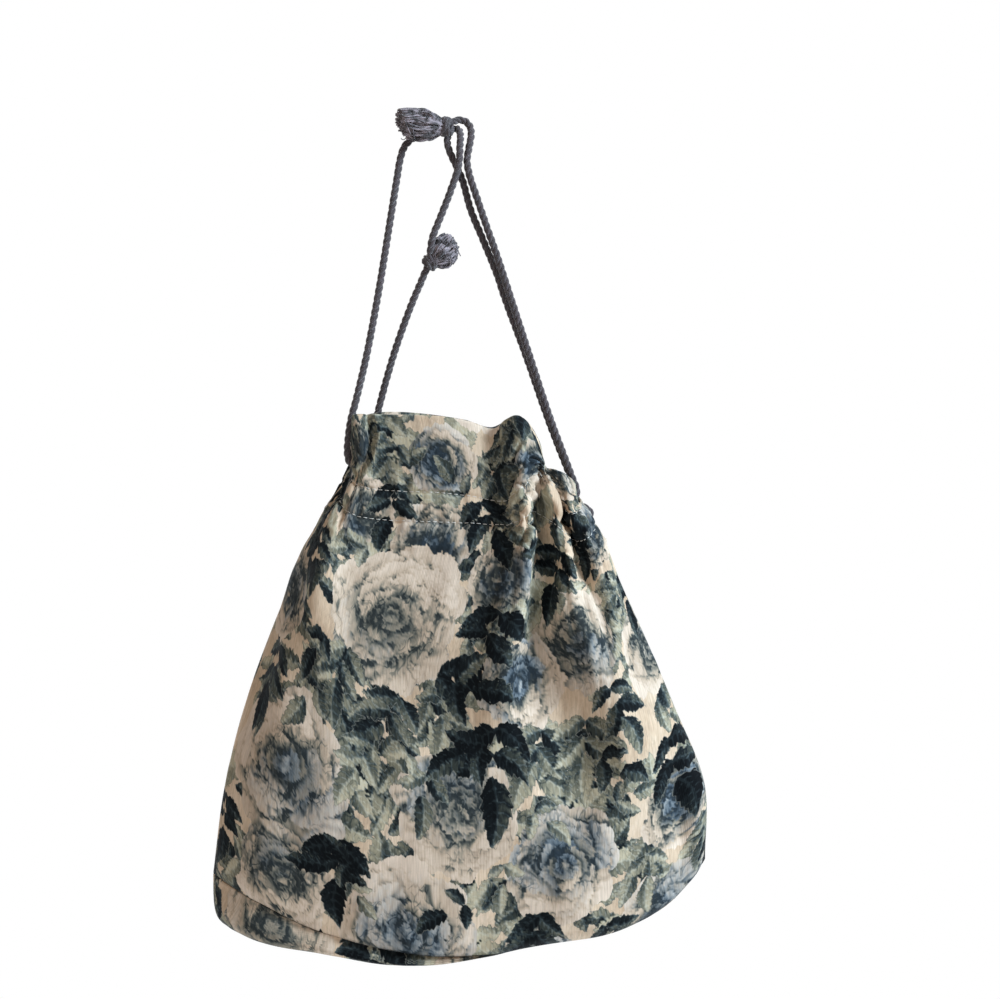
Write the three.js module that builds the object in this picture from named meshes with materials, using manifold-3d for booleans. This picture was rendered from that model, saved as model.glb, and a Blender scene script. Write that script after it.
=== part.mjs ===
// A small drawstring pouch of printed cotton, hanging by its two cords.
// Front and back panels are sewn to each other at the sides and to an oval base.
// The top of each panel is folded in, and two rows of stitching make a casing with a cord in it.
// Each cord goes through one casing, leaves it at both side seams and ends in a knot with a tassel.
// Units are millimetres. +Z is up, the front faces -Y, and the origin is the hanging point.

import * as THREE from "three";
import { mergeVertices } from "three/addons/utils/BufferGeometryUtils.js";
import Module from "manifold-3d";

const wasm = await Module();
wasm.setup();

// Driving dimensions
const pouchWidth = 217; // at the widest level of the body
const pouchHeight = 243; // top of the heading to the lowest point of the base
const pouchDepth = 60; // front to back at the fullest level
const headingDrop = 128; // from the hanging point down to the top of the heading
const headingWidth = 91; // gathered top edge
const headingDepth = 29; // front to back, both panels
const headingHeight = 35; // ruffle above the upper casing stitching, at the middle
const casingHeight = 13; // between the two rows of casing stitching
const facingDepth = 11; // folded-in cloth below the lower casing stitching
const clothThickness = 1.2;
const cordDiameter = 3.2;
const cordClearance = 0.85; // round the cord in its casing
const stitchMargin = 0.6; // cloth kept between a row of stitching and the cord's passage
const seamGap = 0.3; // between two edges that are sewn together
const baseSeamGap = 0.6; // straight down at the base seam, which slopes
const casingEnd = [43.5, 46]; // the casings' open ends, left and right of the middle
const shoulder = [54.5, 57.5]; // side edges of the body just below the casing
const baseSag = 20; // depth of the base below its seam, where it hangs slackest

const tuftRadius = 6.8;
const upperKnotRadius = 4;
const lowerKnotRadius = 3.2;

// Fineness of the faceted solids
const panelColumns = 30;
const tubeSides = 8;
const cordSteps = 76;
const tasselSides = 14;

const mix = (low, high, share) => low + (high - low) * share;

// A smooth line through [position, value] pairs
function lineThrough(pairs) {
  return (at) => {
    const last = pairs.length - 1;
    if (at <= pairs[0][0]) return pairs[0][1];
    if (at >= pairs[last][0]) return pairs[last][1];
    let i = 0;
    while (at > pairs[i + 1][0]) i += 1;
    const slope = (k) => {
      const before = pairs[Math.max(k - 1, 0)];
      const after = pairs[Math.min(k + 1, last)];
      return (after[1] - before[1]) / (after[0] - before[0]);
    };
    const width = pairs[i + 1][0] - pairs[i][0];
    const t = (at - pairs[i][0]) / width;
    const [t2, t3] = [t * t, t * t * t];
    return (
      (2 * t3 - 3 * t2 + 1) * pairs[i][1] +
      (t3 - 2 * t2 + t) * width * slope(i) +
      (3 * t2 - 2 * t3) * pairs[i + 1][1] +
      (t3 - t2) * width * slope(i + 1)
    );
  };
}

// Heights of the four cross lines of a panel, by place across it: -1 is the left seam, 1 the right seam
const topZ = -headingDrop;
const bottomZ = topZ - pouchHeight;
const casingTopZ = topZ - headingHeight;
const casingLowZ = casingTopZ - casingHeight;

// The ruffle droops at the right, where most of the gathers are
const ruffleDroop = lineThrough([
  [-1, 1], [-0.5, 0], [0.05, 2.5], [0.3, 6], [0.48, 1.5], [0.65, 4], [0.82, 15], [1, 27],
]);
// The cords pull the casing up at the left seam
const casingRise = lineThrough([[-1, 17.5], [-0.7, 7], [-0.35, 1.5], [0.1, 0], [0.6, 0.5], [1, 2.5]]);
// The seam of the base climbs to the left and right
const baseSeamRise = lineThrough([
  [-1, 41], [-0.8, 31.5], [-0.6, 21.5], [-0.27, 13], [0.05, 11.5], [0.35, 15.5], [0.6, 20.5], [0.8, 28],
  [0.93, 38], [1, 49],
]);
// How far the base hangs below its seam, as a share of its sag
const baseSagShare = lineThrough([
  [-1, 1], [-0.8, 1], [-0.6, 0.68], [-0.27, 0.42], [0.05, 0.2], [0.35, 0.12], [0.6, 0.15], [0.8, 0.15], [1, 0.1],
]);

const crossLines = [
  (s) => topZ - ruffleDroop(s),
  (s) => casingTopZ + casingRise(s),
  (s) => casingLowZ + casingRise(s),
  (s) => bottomZ + baseSeamRise(s),
];

// Side edges of the body between the casing and the base seam, as a share of the way to full width
const leftSwell = lineThrough([[0, 0], [0.25, 0.39], [0.5, 0.68], [0.75, 0.9], [1, 1]]);
const rightSwell = lineThrough([[0, 0], [0.25, 0.33], [0.5, 0.64], [0.75, 0.92], [0.88, 1], [1, 0.96]]);
const depthSwell = lineThrough([[0, 0], [0.25, 0.45], [0.5, 0.82], [0.75, 1], [1, 0.9]]);

// A panel has two layers of cloth where its top is folded in, and room for the cord in its casing
const foldedThickness = 2 * clothThickness;
const casingThickness = foldedThickness + cordDiameter + 2 * cordClearance;
const bodyDrop = crossLines[2](0) - crossLines[3](0);
const rampLength = 3;
const rampLevel = 1 - rampLength / headingHeight;
const bodyTop = 2 + rampLength / bodyDrop;
const facingLow = bodyTop + facingDepth / bodyDrop;
const singleTop = facingLow + rampLength / bodyDrop;

// A value that runs straight between [level, value] pairs
function stepsThrough(pairs) {
  return (level) => {
    let i = 0;
    while (i < pairs.length - 2 && level > pairs[i + 1][0]) i += 1;
    const [low, high] = [pairs[i], pairs[i + 1]];
    return mix(low[1], high[1], THREE.MathUtils.clamp((level - low[0]) / (high[0] - low[0]), 0, 1));
  };
}

// Level 0 is the top edge, 1 and 2 are the rows of casing stitching, 3 is the base seam
const thicknessAt = stepsThrough([
  [0, foldedThickness], [rampLevel, foldedThickness], [1, casingThickness], [2, casingThickness],
  [bodyTop, foldedThickness], [facingLow, foldedThickness], [singleTop, clothThickness], [3, clothThickness],
]);
const headingHalf = headingWidth / 2;
const topEdges = [0, 1].map((end) => stepsThrough([
  [0, headingHalf], [rampLevel, headingHalf], [1, casingEnd[end]], [2, casingEnd[end]], [bodyTop, shoulder[end]],
]));

// Half widths and half depth of the panels' outside at a level
function sizesAt(level) {
  const [left, right] = topEdges.map((edge) => edge(level));
  const way = Math.max(level - bodyTop, 0) / (3 - bodyTop);
  return {
    left: mix(left, pouchWidth / 2, leftSwell(way)),
    right: mix(right, pouchWidth / 2, rightSwell(way)),
    depth: mix(headingDepth / 2, pouchDepth / 2, depthSwell(way)),
  };
}

function heightAt(level, s) {
  const above = Math.min(Math.floor(level), 2);
  return mix(crossLines[above](s), crossLines[above + 1](s), level - above);
}

// A point of a panel, so far in from its outside. The angle runs from 0 at the left seam to PI at the right.
// The panels lie flat against each other at the seams and bulge between them.
function panelPoint(level, angle, side, inward) {
  const size = sizesAt(level);
  const s = -Math.cos(angle);
  const edge = seamGap / 2 + thicknessAt(level);
  const y = mix(edge, size.depth, Math.sin(angle) ** 2) - inward;
  return new THREE.Vector3(s * (s < 0 ? size.left : size.right), side * y, heightAt(level, s));
}

const headingRows = 3;
const bodyRows = 12;

function panelLevels() {
  const levels = [];
  for (let i = 0; i < headingRows; i += 1) levels.push((rampLevel * i) / headingRows);
  levels.push(rampLevel, 1, 1.5, 2, bodyTop, facingLow);
  for (let i = 0; i <= bodyRows; i += 1) levels.push(mix(singleTop, 3, i / bodyRows));
  return levels;
}

// A sheet with two faces, from two grids of points, closed round its four edges
function shellGeometry(outer, inner) {
  const rows = outer.length;
  const columns = outer[0].length;
  const points = [...outer.flat(), ...inner.flat()];
  const index = [];
  const quad = (a, b, c, d) => index.push(a, b, c, a, c, d);
  const out = (r, c) => r * columns + c;
  const into = (r, c) => rows * columns + out(r, c);
  for (let c = 0; c < columns - 1; c += 1) {
    for (let r = 0; r < rows - 1; r += 1) {
      quad(out(r, c), out(r + 1, c), out(r + 1, c + 1), out(r, c + 1));
      quad(into(r, c), into(r, c + 1), into(r + 1, c + 1), into(r + 1, c));
    }
    quad(out(0, c), out(0, c + 1), into(0, c + 1), into(0, c));
    quad(out(rows - 1, c), into(rows - 1, c), into(rows - 1, c + 1), out(rows - 1, c + 1));
  }
  for (let r = 0; r < rows - 1; r += 1) {
    quad(out(r, 0), into(r, 0), into(r + 1, 0), out(r + 1, 0));
    quad(out(r, columns - 1), out(r + 1, columns - 1), into(r + 1, columns - 1), into(r, columns - 1));
  }
  return facingOut(geometryOf(coordinates(points), index));
}

const coordinates = (points) => points.flatMap((p) => [p.x, p.y, p.z]);

function geometryOf(positions, index) {
  const geometry = new THREE.BufferGeometry();
  geometry.setAttribute("position", new THREE.Float32BufferAttribute(positions, 3));
  geometry.setIndex(index);
  return geometry;
}

// Turns every face round if the solid's volume comes out negative
function facingOut(geometry) {
  const at = geometry.getAttribute("position");
  const index = Array.from(geometry.getIndex().array);
  const corner = (i) => new THREE.Vector3().fromBufferAttribute(at, index[i]);
  let volume = 0;
  for (let i = 0; i < index.length; i += 3) volume += corner(i).dot(corner(i + 1).cross(corner(i + 2)));
  if (volume < 0) {
    for (let i = 0; i < index.length; i += 3) [index[i + 1], index[i + 2]] = [index[i + 2], index[i + 1]];
    geometry.setIndex(index);
  }
  return geometry;
}

function solidOf(geometry) {
  const plain = geometry.clone();
  for (const name of Object.keys(plain.attributes)) if (name !== "position") plain.deleteAttribute(name);
  const merged = facingOut(mergeVertices(plain, 1e-5));
  return new wasm.Manifold(
    new wasm.Mesh({
      numProp: 3,
      vertProperties: new Float32Array(merged.getAttribute("position").array),
      triVerts: new Uint32Array(merged.getIndex().array),
    }),
  );
}

function geometryFrom(solid) {
  const mesh = solid.getMesh();
  return geometryOf(Array.from(mesh.vertProperties), Array.from(mesh.triVerts));
}

// The middle of the cord's way through a casing
const casingCentre = (angle, side) => panelPoint(1.5, angle, side, casingThickness / 2);

// The passage that a casing keeps for its cord, an oval tube that runs out of both ends
const passageHalfHeight = casingHeight / 2 - clothThickness - stitchMargin;
const passageHalfDepth = cordDiameter / 2 + cordClearance;
const passageSides = 10;
const passageColumns = 26;
const passageOverrun = 3;

function passageSolid(side) {
  const centres = [];
  for (let i = 0; i <= passageColumns; i += 1) {
    centres.push(casingCentre((Math.PI * i) / passageColumns, side));
  }
  const beyond = (end, way) => centres.at(end).clone().add(new THREE.Vector3(way * passageOverrun, 0, 0));
  const rings = [beyond(0, -1), ...centres, beyond(-1, 1)].map((centre) => {
    const ring = [];
    for (let k = 0; k < passageSides; k += 1) {
      const turn = (2 * Math.PI * k) / passageSides;
      const [deep, high] = [passageHalfDepth * Math.cos(turn), passageHalfHeight * Math.sin(turn)];
      ring.push(centre.clone().add(new THREE.Vector3(0, deep, high)));
    }
    return ring;
  });
  return solidOf(tubeThrough(rings));
}

// A closed tube through rings of points, with a fan on each end
function tubeThrough(rings) {
  const sides = rings[0].length;
  const points = rings.flat();
  const index = [];
  for (let i = 0; i < rings.length - 1; i += 1) {
    for (let k = 0; k < sides; k += 1) {
      const [a, b] = [i * sides + k, i * sides + ((k + 1) % sides)];
      index.push(a, b, b + sides, a, b + sides, a + sides);
    }
  }
  const last = (rings.length - 1) * sides;
  for (let k = 1; k < sides - 1; k += 1) {
    index.push(0, k + 1, k);
    index.push(last, last + k, last + k + 1);
  }
  return facingOut(geometryOf(coordinates(points), index));
}

function panelGeometry(side) {
  const grid = (inward) => panelLevels().map((level) => {
    const row = [];
    for (let c = 0; c <= panelColumns; c += 1) {
      const angle = (Math.PI * c) / panelColumns;
      row.push(panelPoint(level, angle, side, inward ? thicknessAt(level) : 0));
    }
    return row;
  });
  return geometryFrom(solidOf(shellGeometry(grid(false), grid(true))).subtract(passageSolid(side)));
}

// The base is one oval of cloth, sewn all round to the panels and hanging slack below its seam
const baseRings = [1, 0.99, 0.965, 0.9, 0.75, 0.5, 0.25, 0.06];
const baseColumns = 2 * panelColumns;
const baseSquareness = 6;
const innermostRing = 0.03;

// A point of the base by its angle round the rim and its ring, 1 at the rim and 0 in the middle
function basePoint(angle, ring, inner) {
  const side = angle <= Math.PI ? -1 : 1;
  const rim = panelPoint(3, angle <= Math.PI ? angle : 2 * Math.PI - angle, side, inner ? clothThickness : 0);
  const s = -Math.cos(angle) * ring;
  const sag = baseSag * baseSagShare(s) * (1 - ring ** baseSquareness) ** (1 / baseSquareness);
  const lift = inner && ring < 1 ? clothThickness : 0;
  return new THREE.Vector3(rim.x * ring, rim.y * ring, crossLines[3](s) - sag - baseSeamGap + lift);
}

function baseGeometry() {
  const grid = (inner) => baseRings.map((ring) => {
    const row = [];
    for (let c = 0; c < baseColumns; c += 1) {
      const angle = (2 * Math.PI * c) / baseColumns;
      const inset = inner && ring < 1 ? ring - clothThickness / (pouchWidth / 2) : ring;
      row.push(basePoint(angle, Math.max(inset, innermostRing), inner));
    }
    return row;
  });
  return closedDish(grid(false), grid(true));
}

// A dish: two grids joined at the rim, each closed by a fan at its centre
function closedDish(outer, inner) {
  const columns = outer[0].length;
  const rows = outer.length;
  const centreOf = (row) => row.reduce((sum, p) => sum.add(p), new THREE.Vector3()).divideScalar(columns);
  const points = [...outer.flat(), ...inner.flat(), centreOf(outer[rows - 1]), centreOf(inner[rows - 1])];
  const index = [];
  const at = (layer, r, c) => layer * rows * columns + r * columns + (c % columns);
  const centre = (layer) => 2 * rows * columns + layer;
  for (let c = 0; c < columns; c += 1) {
    for (let r = 0; r < rows - 1; r += 1) {
      index.push(at(0, r, c), at(0, r + 1, c), at(0, r + 1, c + 1), at(0, r, c), at(0, r + 1, c + 1), at(0, r, c + 1));
      index.push(at(1, r, c), at(1, r + 1, c + 1), at(1, r + 1, c), at(1, r, c), at(1, r, c + 1), at(1, r + 1, c + 1));
    }
    index.push(at(0, 0, c), at(0, 0, c + 1), at(1, 0, c + 1), at(0, 0, c), at(1, 0, c + 1), at(1, 0, c));
    index.push(at(0, rows - 1, c), centre(0), at(0, rows - 1, c + 1));
    index.push(at(1, rows - 1, c), at(1, rows - 1, c + 1), centre(1));
  }
  return facingOut(geometryOf(coordinates(points), index));
}

// Routes of the two cords outside the pouch, as points chosen by hand.
// Each starts at its knot, goes to the casing's left end, and comes back from its right end to the knot.
const frontLeftRun = [
  [-7.4, 3.6, -2.8], [-8.7, 5.6, -3.1], [-12.0, 7.0, -3.6], [-16.4, 7.0, -4.5], [-21.0, 5.6, -6.2],
  [-24.6, 4.3, -10.0], [-26.4, 3.3, -15.5], [-27.8, 2.5, -24.0], [-31.2, 0.6, -46.0], [-35.6, -1.6, -74.0],
  [-40.9, -3.6, -103.0], [-45.4, -4.7, -122.5], [-47.6, -5.0, -131.0], [-48.8, -5.0, -139.0],
  [-49.2, -4.5, -145.4], [-48.4, -3.8, -149.4], [-46.2, -3.4, -151.4],
];
const frontRightRun = [
  [48.6, -3.5, -166.5], [50.9, -3.7, -164.4], [51.0, -3.7, -161.2], [49.4, -3.3, -156.8],
  [46.7, -2.8, -149.6], [39.8, -2.2, -131.0], [30.6, -1.9, -103.0],
  [21.6, -1.7, -75.2], [16.3, -1.6, -59.0], [11.9, -1.5, -46.6], [7.0, -1.2, -32.1],
  [4.2, -0.8, -23.5], [3.1, -0.4, -17.0], [4.0, 0.0, -11.0], [4.9, 1.4, -5.5], [4.4, 3.3, -1.4],
  [2.0, 4.4, 1.3], [-1.0, 3.7, 1.6], [-3.5, 1.7, 0.2],
];
const backLeftRun = [
  [-15.0, 1.3, -64.9], [-17.4, 3.2, -70.2], [-21.6, 5.9, -79.6], [-28.5, 9.5, -98.0],
  [-33.2, 12.0, -113.0], [-36.2, 13.2, -124.0], [-38.2, 13.6, -131.5], [-41.6, 13.0, -138.6],
  [-45.4, 10.4, -143.4], [-48.0, 7.4, -146.8], [-48.4, 4.6, -150.0], [-46.2, 3.4, -151.5],
];
const backRightRun = [
  [48.6, 3.5, -166.5], [50.9, 3.8, -164.4], [51.0, 4.0, -161.2], [49.2, 3.8, -156.8],
  [46.2, 3.3, -149.6], [39.0, 2.5, -131.0], [29.2, 1.9, -103.0],
  [19.5, 1.5, -76.6], [16.3, 1.4, -66.9], [9.7, 1.1, -50.6], [4.8, 1.0, -38.7], [1.0, 1.0, -25.2],
  [-1.4, 0.8, -19.6], [-3.8, 0.3, -14.6], [-5.3, 1.2, -10.4], [-5.6, 3.6, -6.6], [-4.6, 5.8, -3.2],
  [-2.5, 6.4, -1.6], [-0.5, 4.2, -2.8], [0.2, 0.8, -6.2], [0.0, -1.8, -11.0], [-0.2, -3.1, -17.0],
  [-1.4, -3.7, -23.0], [-3.4, -3.9, -29.0], [-5.8, -3.8, -35.5], [-9.4, -3.7, -44.5],
  [-12.1, -3.4, -51.6], [-13.2, -1.7, -58.2],
];

// Between its two ends a cord lies in the middle of its casing
const casingRunSteps = 14;
function casingRun(side) {
  const points = [];
  for (let i = 0; i <= casingRunSteps; i += 1) points.push(casingCentre((Math.PI * i) / casingRunSteps, side));
  return points;
}

function cordGeometry(leftRun, side, rightRun) {
  const free = (run) => run.map(([x, y, z]) => new THREE.Vector3(x, y, z));
  const points = [...free(leftRun), ...casingRun(side), ...free(rightRun)];
  const path = new THREE.CatmullRomCurve3(points, false, "centripetal");
  const section = new THREE.Shape();
  for (let k = 0; k < tubeSides; k += 1) {
    const turn = (2 * Math.PI * k) / tubeSides;
    const [x, y] = [(cordDiameter / 2) * Math.cos(turn), (cordDiameter / 2) * Math.sin(turn)];
    if (k === 0) section.moveTo(x, y);
    else section.lineTo(x, y);
  }
  section.closePath();
  return new THREE.ExtrudeGeometry(section, { steps: cordSteps, bevelEnabled: false, extrudePath: path });
}

// A short tassel of wool with its knot, from [distance along its axis, radius] pairs
function tasselGeometry(knot, tip, knotRadius) {
  const axis = tip.clone().sub(knot);
  const length = axis.length();
  const neck = knotRadius * 0.8;
  const profile = [
    [-knotRadius, 0], [-knotRadius * 0.8, knotRadius * 0.6], [0, knotRadius], [knotRadius * 0.85, neck],
    [length * 0.5, mix(neck, tuftRadius, 0.6)], [length * 0.8, tuftRadius * 0.96], [length * 0.95, tuftRadius],
    [length, tuftRadius * 0.86], [length, 0],
  ];
  const lathe = new THREE.LatheGeometry(profile.map(([y, r]) => new THREE.Vector2(r, y)), tasselSides);
  const turn = new THREE.Quaternion().setFromUnitVectors(new THREE.Vector3(0, 1, 0), axis.normalize());
  lathe.applyQuaternion(turn);
  lathe.translate(knot.x, knot.y, knot.z);
  return lathe;
}

const printedCotton = () => new THREE.MeshStandardMaterial({ color: 0xa3a39b, roughness: 0.78, metalness: 0 });
const darkCord = () => new THREE.MeshStandardMaterial({ color: 0x3d3a42, roughness: 0.85, metalness: 0 });
const greyWool = () => new THREE.MeshStandardMaterial({ color: 0x8a8088, roughness: 0.95, metalness: 0 });

function piece(name, geometry, material) {
  const mesh = new THREE.Mesh(geometry, material);
  mesh.name = name;
  return mesh;
}

const [front, back] = [-1, 1];
const upperKnot = new THREE.Vector3(-6.2, -1.2, -2.2);
const upperTip = new THREE.Vector3(-28.0, -4.6, -1.0);
const lowerKnot = new THREE.Vector3(-13.2, 0.6, -61.6);
const lowerTip = new THREE.Vector3(-2.8, 6.4, -52.4);

const pouch = new THREE.Group();
pouch.add(
  piece("front_panel", panelGeometry(front), printedCotton()),
  piece("back_panel", panelGeometry(back), printedCotton()),
  piece("base_panel", baseGeometry(), printedCotton()),
  piece("front_drawcord", cordGeometry(frontLeftRun, front, frontRightRun), darkCord()),
  piece("back_drawcord", cordGeometry(backLeftRun, back, backRightRun), darkCord()),
  piece("upper_tassel", tasselGeometry(upperKnot, upperTip, upperKnotRadius), greyWool()),
  piece("lower_tassel", tasselGeometry(lowerKnot, lowerTip, lowerKnotRadius), greyWool()),
);

export default pouch;
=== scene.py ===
"""The looks of a gathered pouch of printed cotton that hangs by two twisted cords.

Sizes are in millimetres until a mesh is made. +Z is up, the front faces -Y, and the origin is the
hanging point.
"""

import math

import bpy
import numpy as np
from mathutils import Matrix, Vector


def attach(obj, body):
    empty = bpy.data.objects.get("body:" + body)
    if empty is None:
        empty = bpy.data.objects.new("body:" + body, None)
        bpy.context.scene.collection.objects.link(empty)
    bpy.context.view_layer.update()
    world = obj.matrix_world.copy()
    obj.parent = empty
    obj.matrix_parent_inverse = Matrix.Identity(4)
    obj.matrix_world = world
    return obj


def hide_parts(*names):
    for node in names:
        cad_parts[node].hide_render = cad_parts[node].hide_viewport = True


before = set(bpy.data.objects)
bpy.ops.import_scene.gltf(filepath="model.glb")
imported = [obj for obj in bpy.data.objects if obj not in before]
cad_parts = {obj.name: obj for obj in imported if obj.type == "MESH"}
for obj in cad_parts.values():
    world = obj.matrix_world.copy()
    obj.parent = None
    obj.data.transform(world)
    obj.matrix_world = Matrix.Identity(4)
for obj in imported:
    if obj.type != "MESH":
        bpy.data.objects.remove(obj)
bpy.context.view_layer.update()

MM = 0.001
FRONT, BACK = -1, 1

# Sizes of the pouch, as its CAD parts have them
POUCH_HEIGHT = 243.0
HEADING_DROP = 128.0
HEADING_HEIGHT = 35.0
CASING_HEIGHT = 13.0
FACING_DEPTH = 11.0
BASE_SAG = 20.0
TOP_Z = -HEADING_DROP
BOTTOM_Z = TOP_Z - POUCH_HEIGHT

# Cloth of one panel
CLOTH_WIDTH = 230.0
CLOTH_THICKNESS = 0.8
FOLDED_THICKNESS = 2.2
FIRST_STITCHING = HEADING_HEIGHT
SECOND_STITCHING = HEADING_HEIGHT + CASING_HEIGHT
CASING_MIDDLE = (FIRST_STITCHING + SECOND_STITCHING) / 2
FACING_EDGE = SECOND_STITCHING + FACING_DEPTH
BASE_SEAM = 231.5
GRID_STEP = 0.85
FOLD_RADIUS = 1.1
FOLD_STEPS = 6
HEM_ROLL = 6.0
SEAM_FADE = 9.0


def line_through(pairs):
    """A smooth line through (position, value) pairs, for single numbers or arrays."""
    at = np.array([p[0] for p in pairs], float)
    value = np.array([p[1] for p in pairs], float)
    slope = np.gradient(value, at)
    slope[1:-1] = (value[2:] - value[:-2]) / (at[2:] - at[:-2])

    def evaluate(x):
        x = np.clip(x, at[0], at[-1])
        i = np.clip(np.searchsorted(at, x, side="right") - 1, 0, len(at) - 2)
        width = at[i + 1] - at[i]
        t = (x - at[i]) / width
        return (
            (2 * t**3 - 3 * t**2 + 1) * value[i]
            + (t**3 - 2 * t**2 + t) * width * slope[i]
            + (3 * t**2 - 2 * t**3) * value[i + 1]
            + (t**3 - t**2) * width * slope[i + 1]
        )

    return evaluate


def smooth(low, high, x):
    """0 below low, 1 above high, and a smooth step between them."""
    t = np.clip((x - low) / (high - low), 0, 1)
    return t * t * (3 - 2 * t)


def bump_at(x, centre, width):
    """A soft bump, 1 at its centre."""
    return np.exp(-(((x - centre) / width) ** 2))


def unit(v):
    return v / np.maximum(np.linalg.norm(v, axis=-1, keepdims=True), 1e-9)


class Noise:
    """Smooth seeded noise from -1 to 1 over a plane, one lattice point per unit."""

    def __init__(self, seed, size=64):
        self.size = size
        self.table = np.random.default_rng(seed).uniform(-1, 1, (size, size))

    def __call__(self, x, y):
        x0, y0 = np.floor(x).astype(int), np.floor(y).astype(int)
        fx, fy = smooth(0, 1, x - x0), smooth(0, 1, y - y0)
        at = lambda i, j: self.table[(y0 + j) % self.size, (x0 + i) % self.size]
        low = at(0, 0) * (1 - fx) + at(1, 0) * fx
        high = at(0, 1) * (1 - fx) + at(1, 1) * fx
        return low * (1 - fy) + high * fy


# Heights of a panel's cross lines by place across it, -1 at the left seam and 1 at the right
casing_rise = line_through([(-1, 17.5), (-0.7, 7), (-0.35, 1.5), (0.1, 0), (0.6, 0.5), (1, 2.5)])
base_seam_rise = line_through([
    (-1, 41), (-0.8, 31.5), (-0.6, 21), (-0.27, 11.5), (0.05, 8.6), (0.35, 13.4), (0.6, 17.8), (0.8, 25.3),
    (0.93, 36), (1, 47),
])
# How far the base hangs below its seam, as a share of its sag
base_sag_share = line_through([
    (-1, 1), (-0.8, 0.86), (-0.6, 0.5), (-0.27, 0.3), (0.05, 0.07), (0.35, 0.04), (0.6, 0.04), (0.8, 0.02),
    (1, 0),
])

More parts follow.
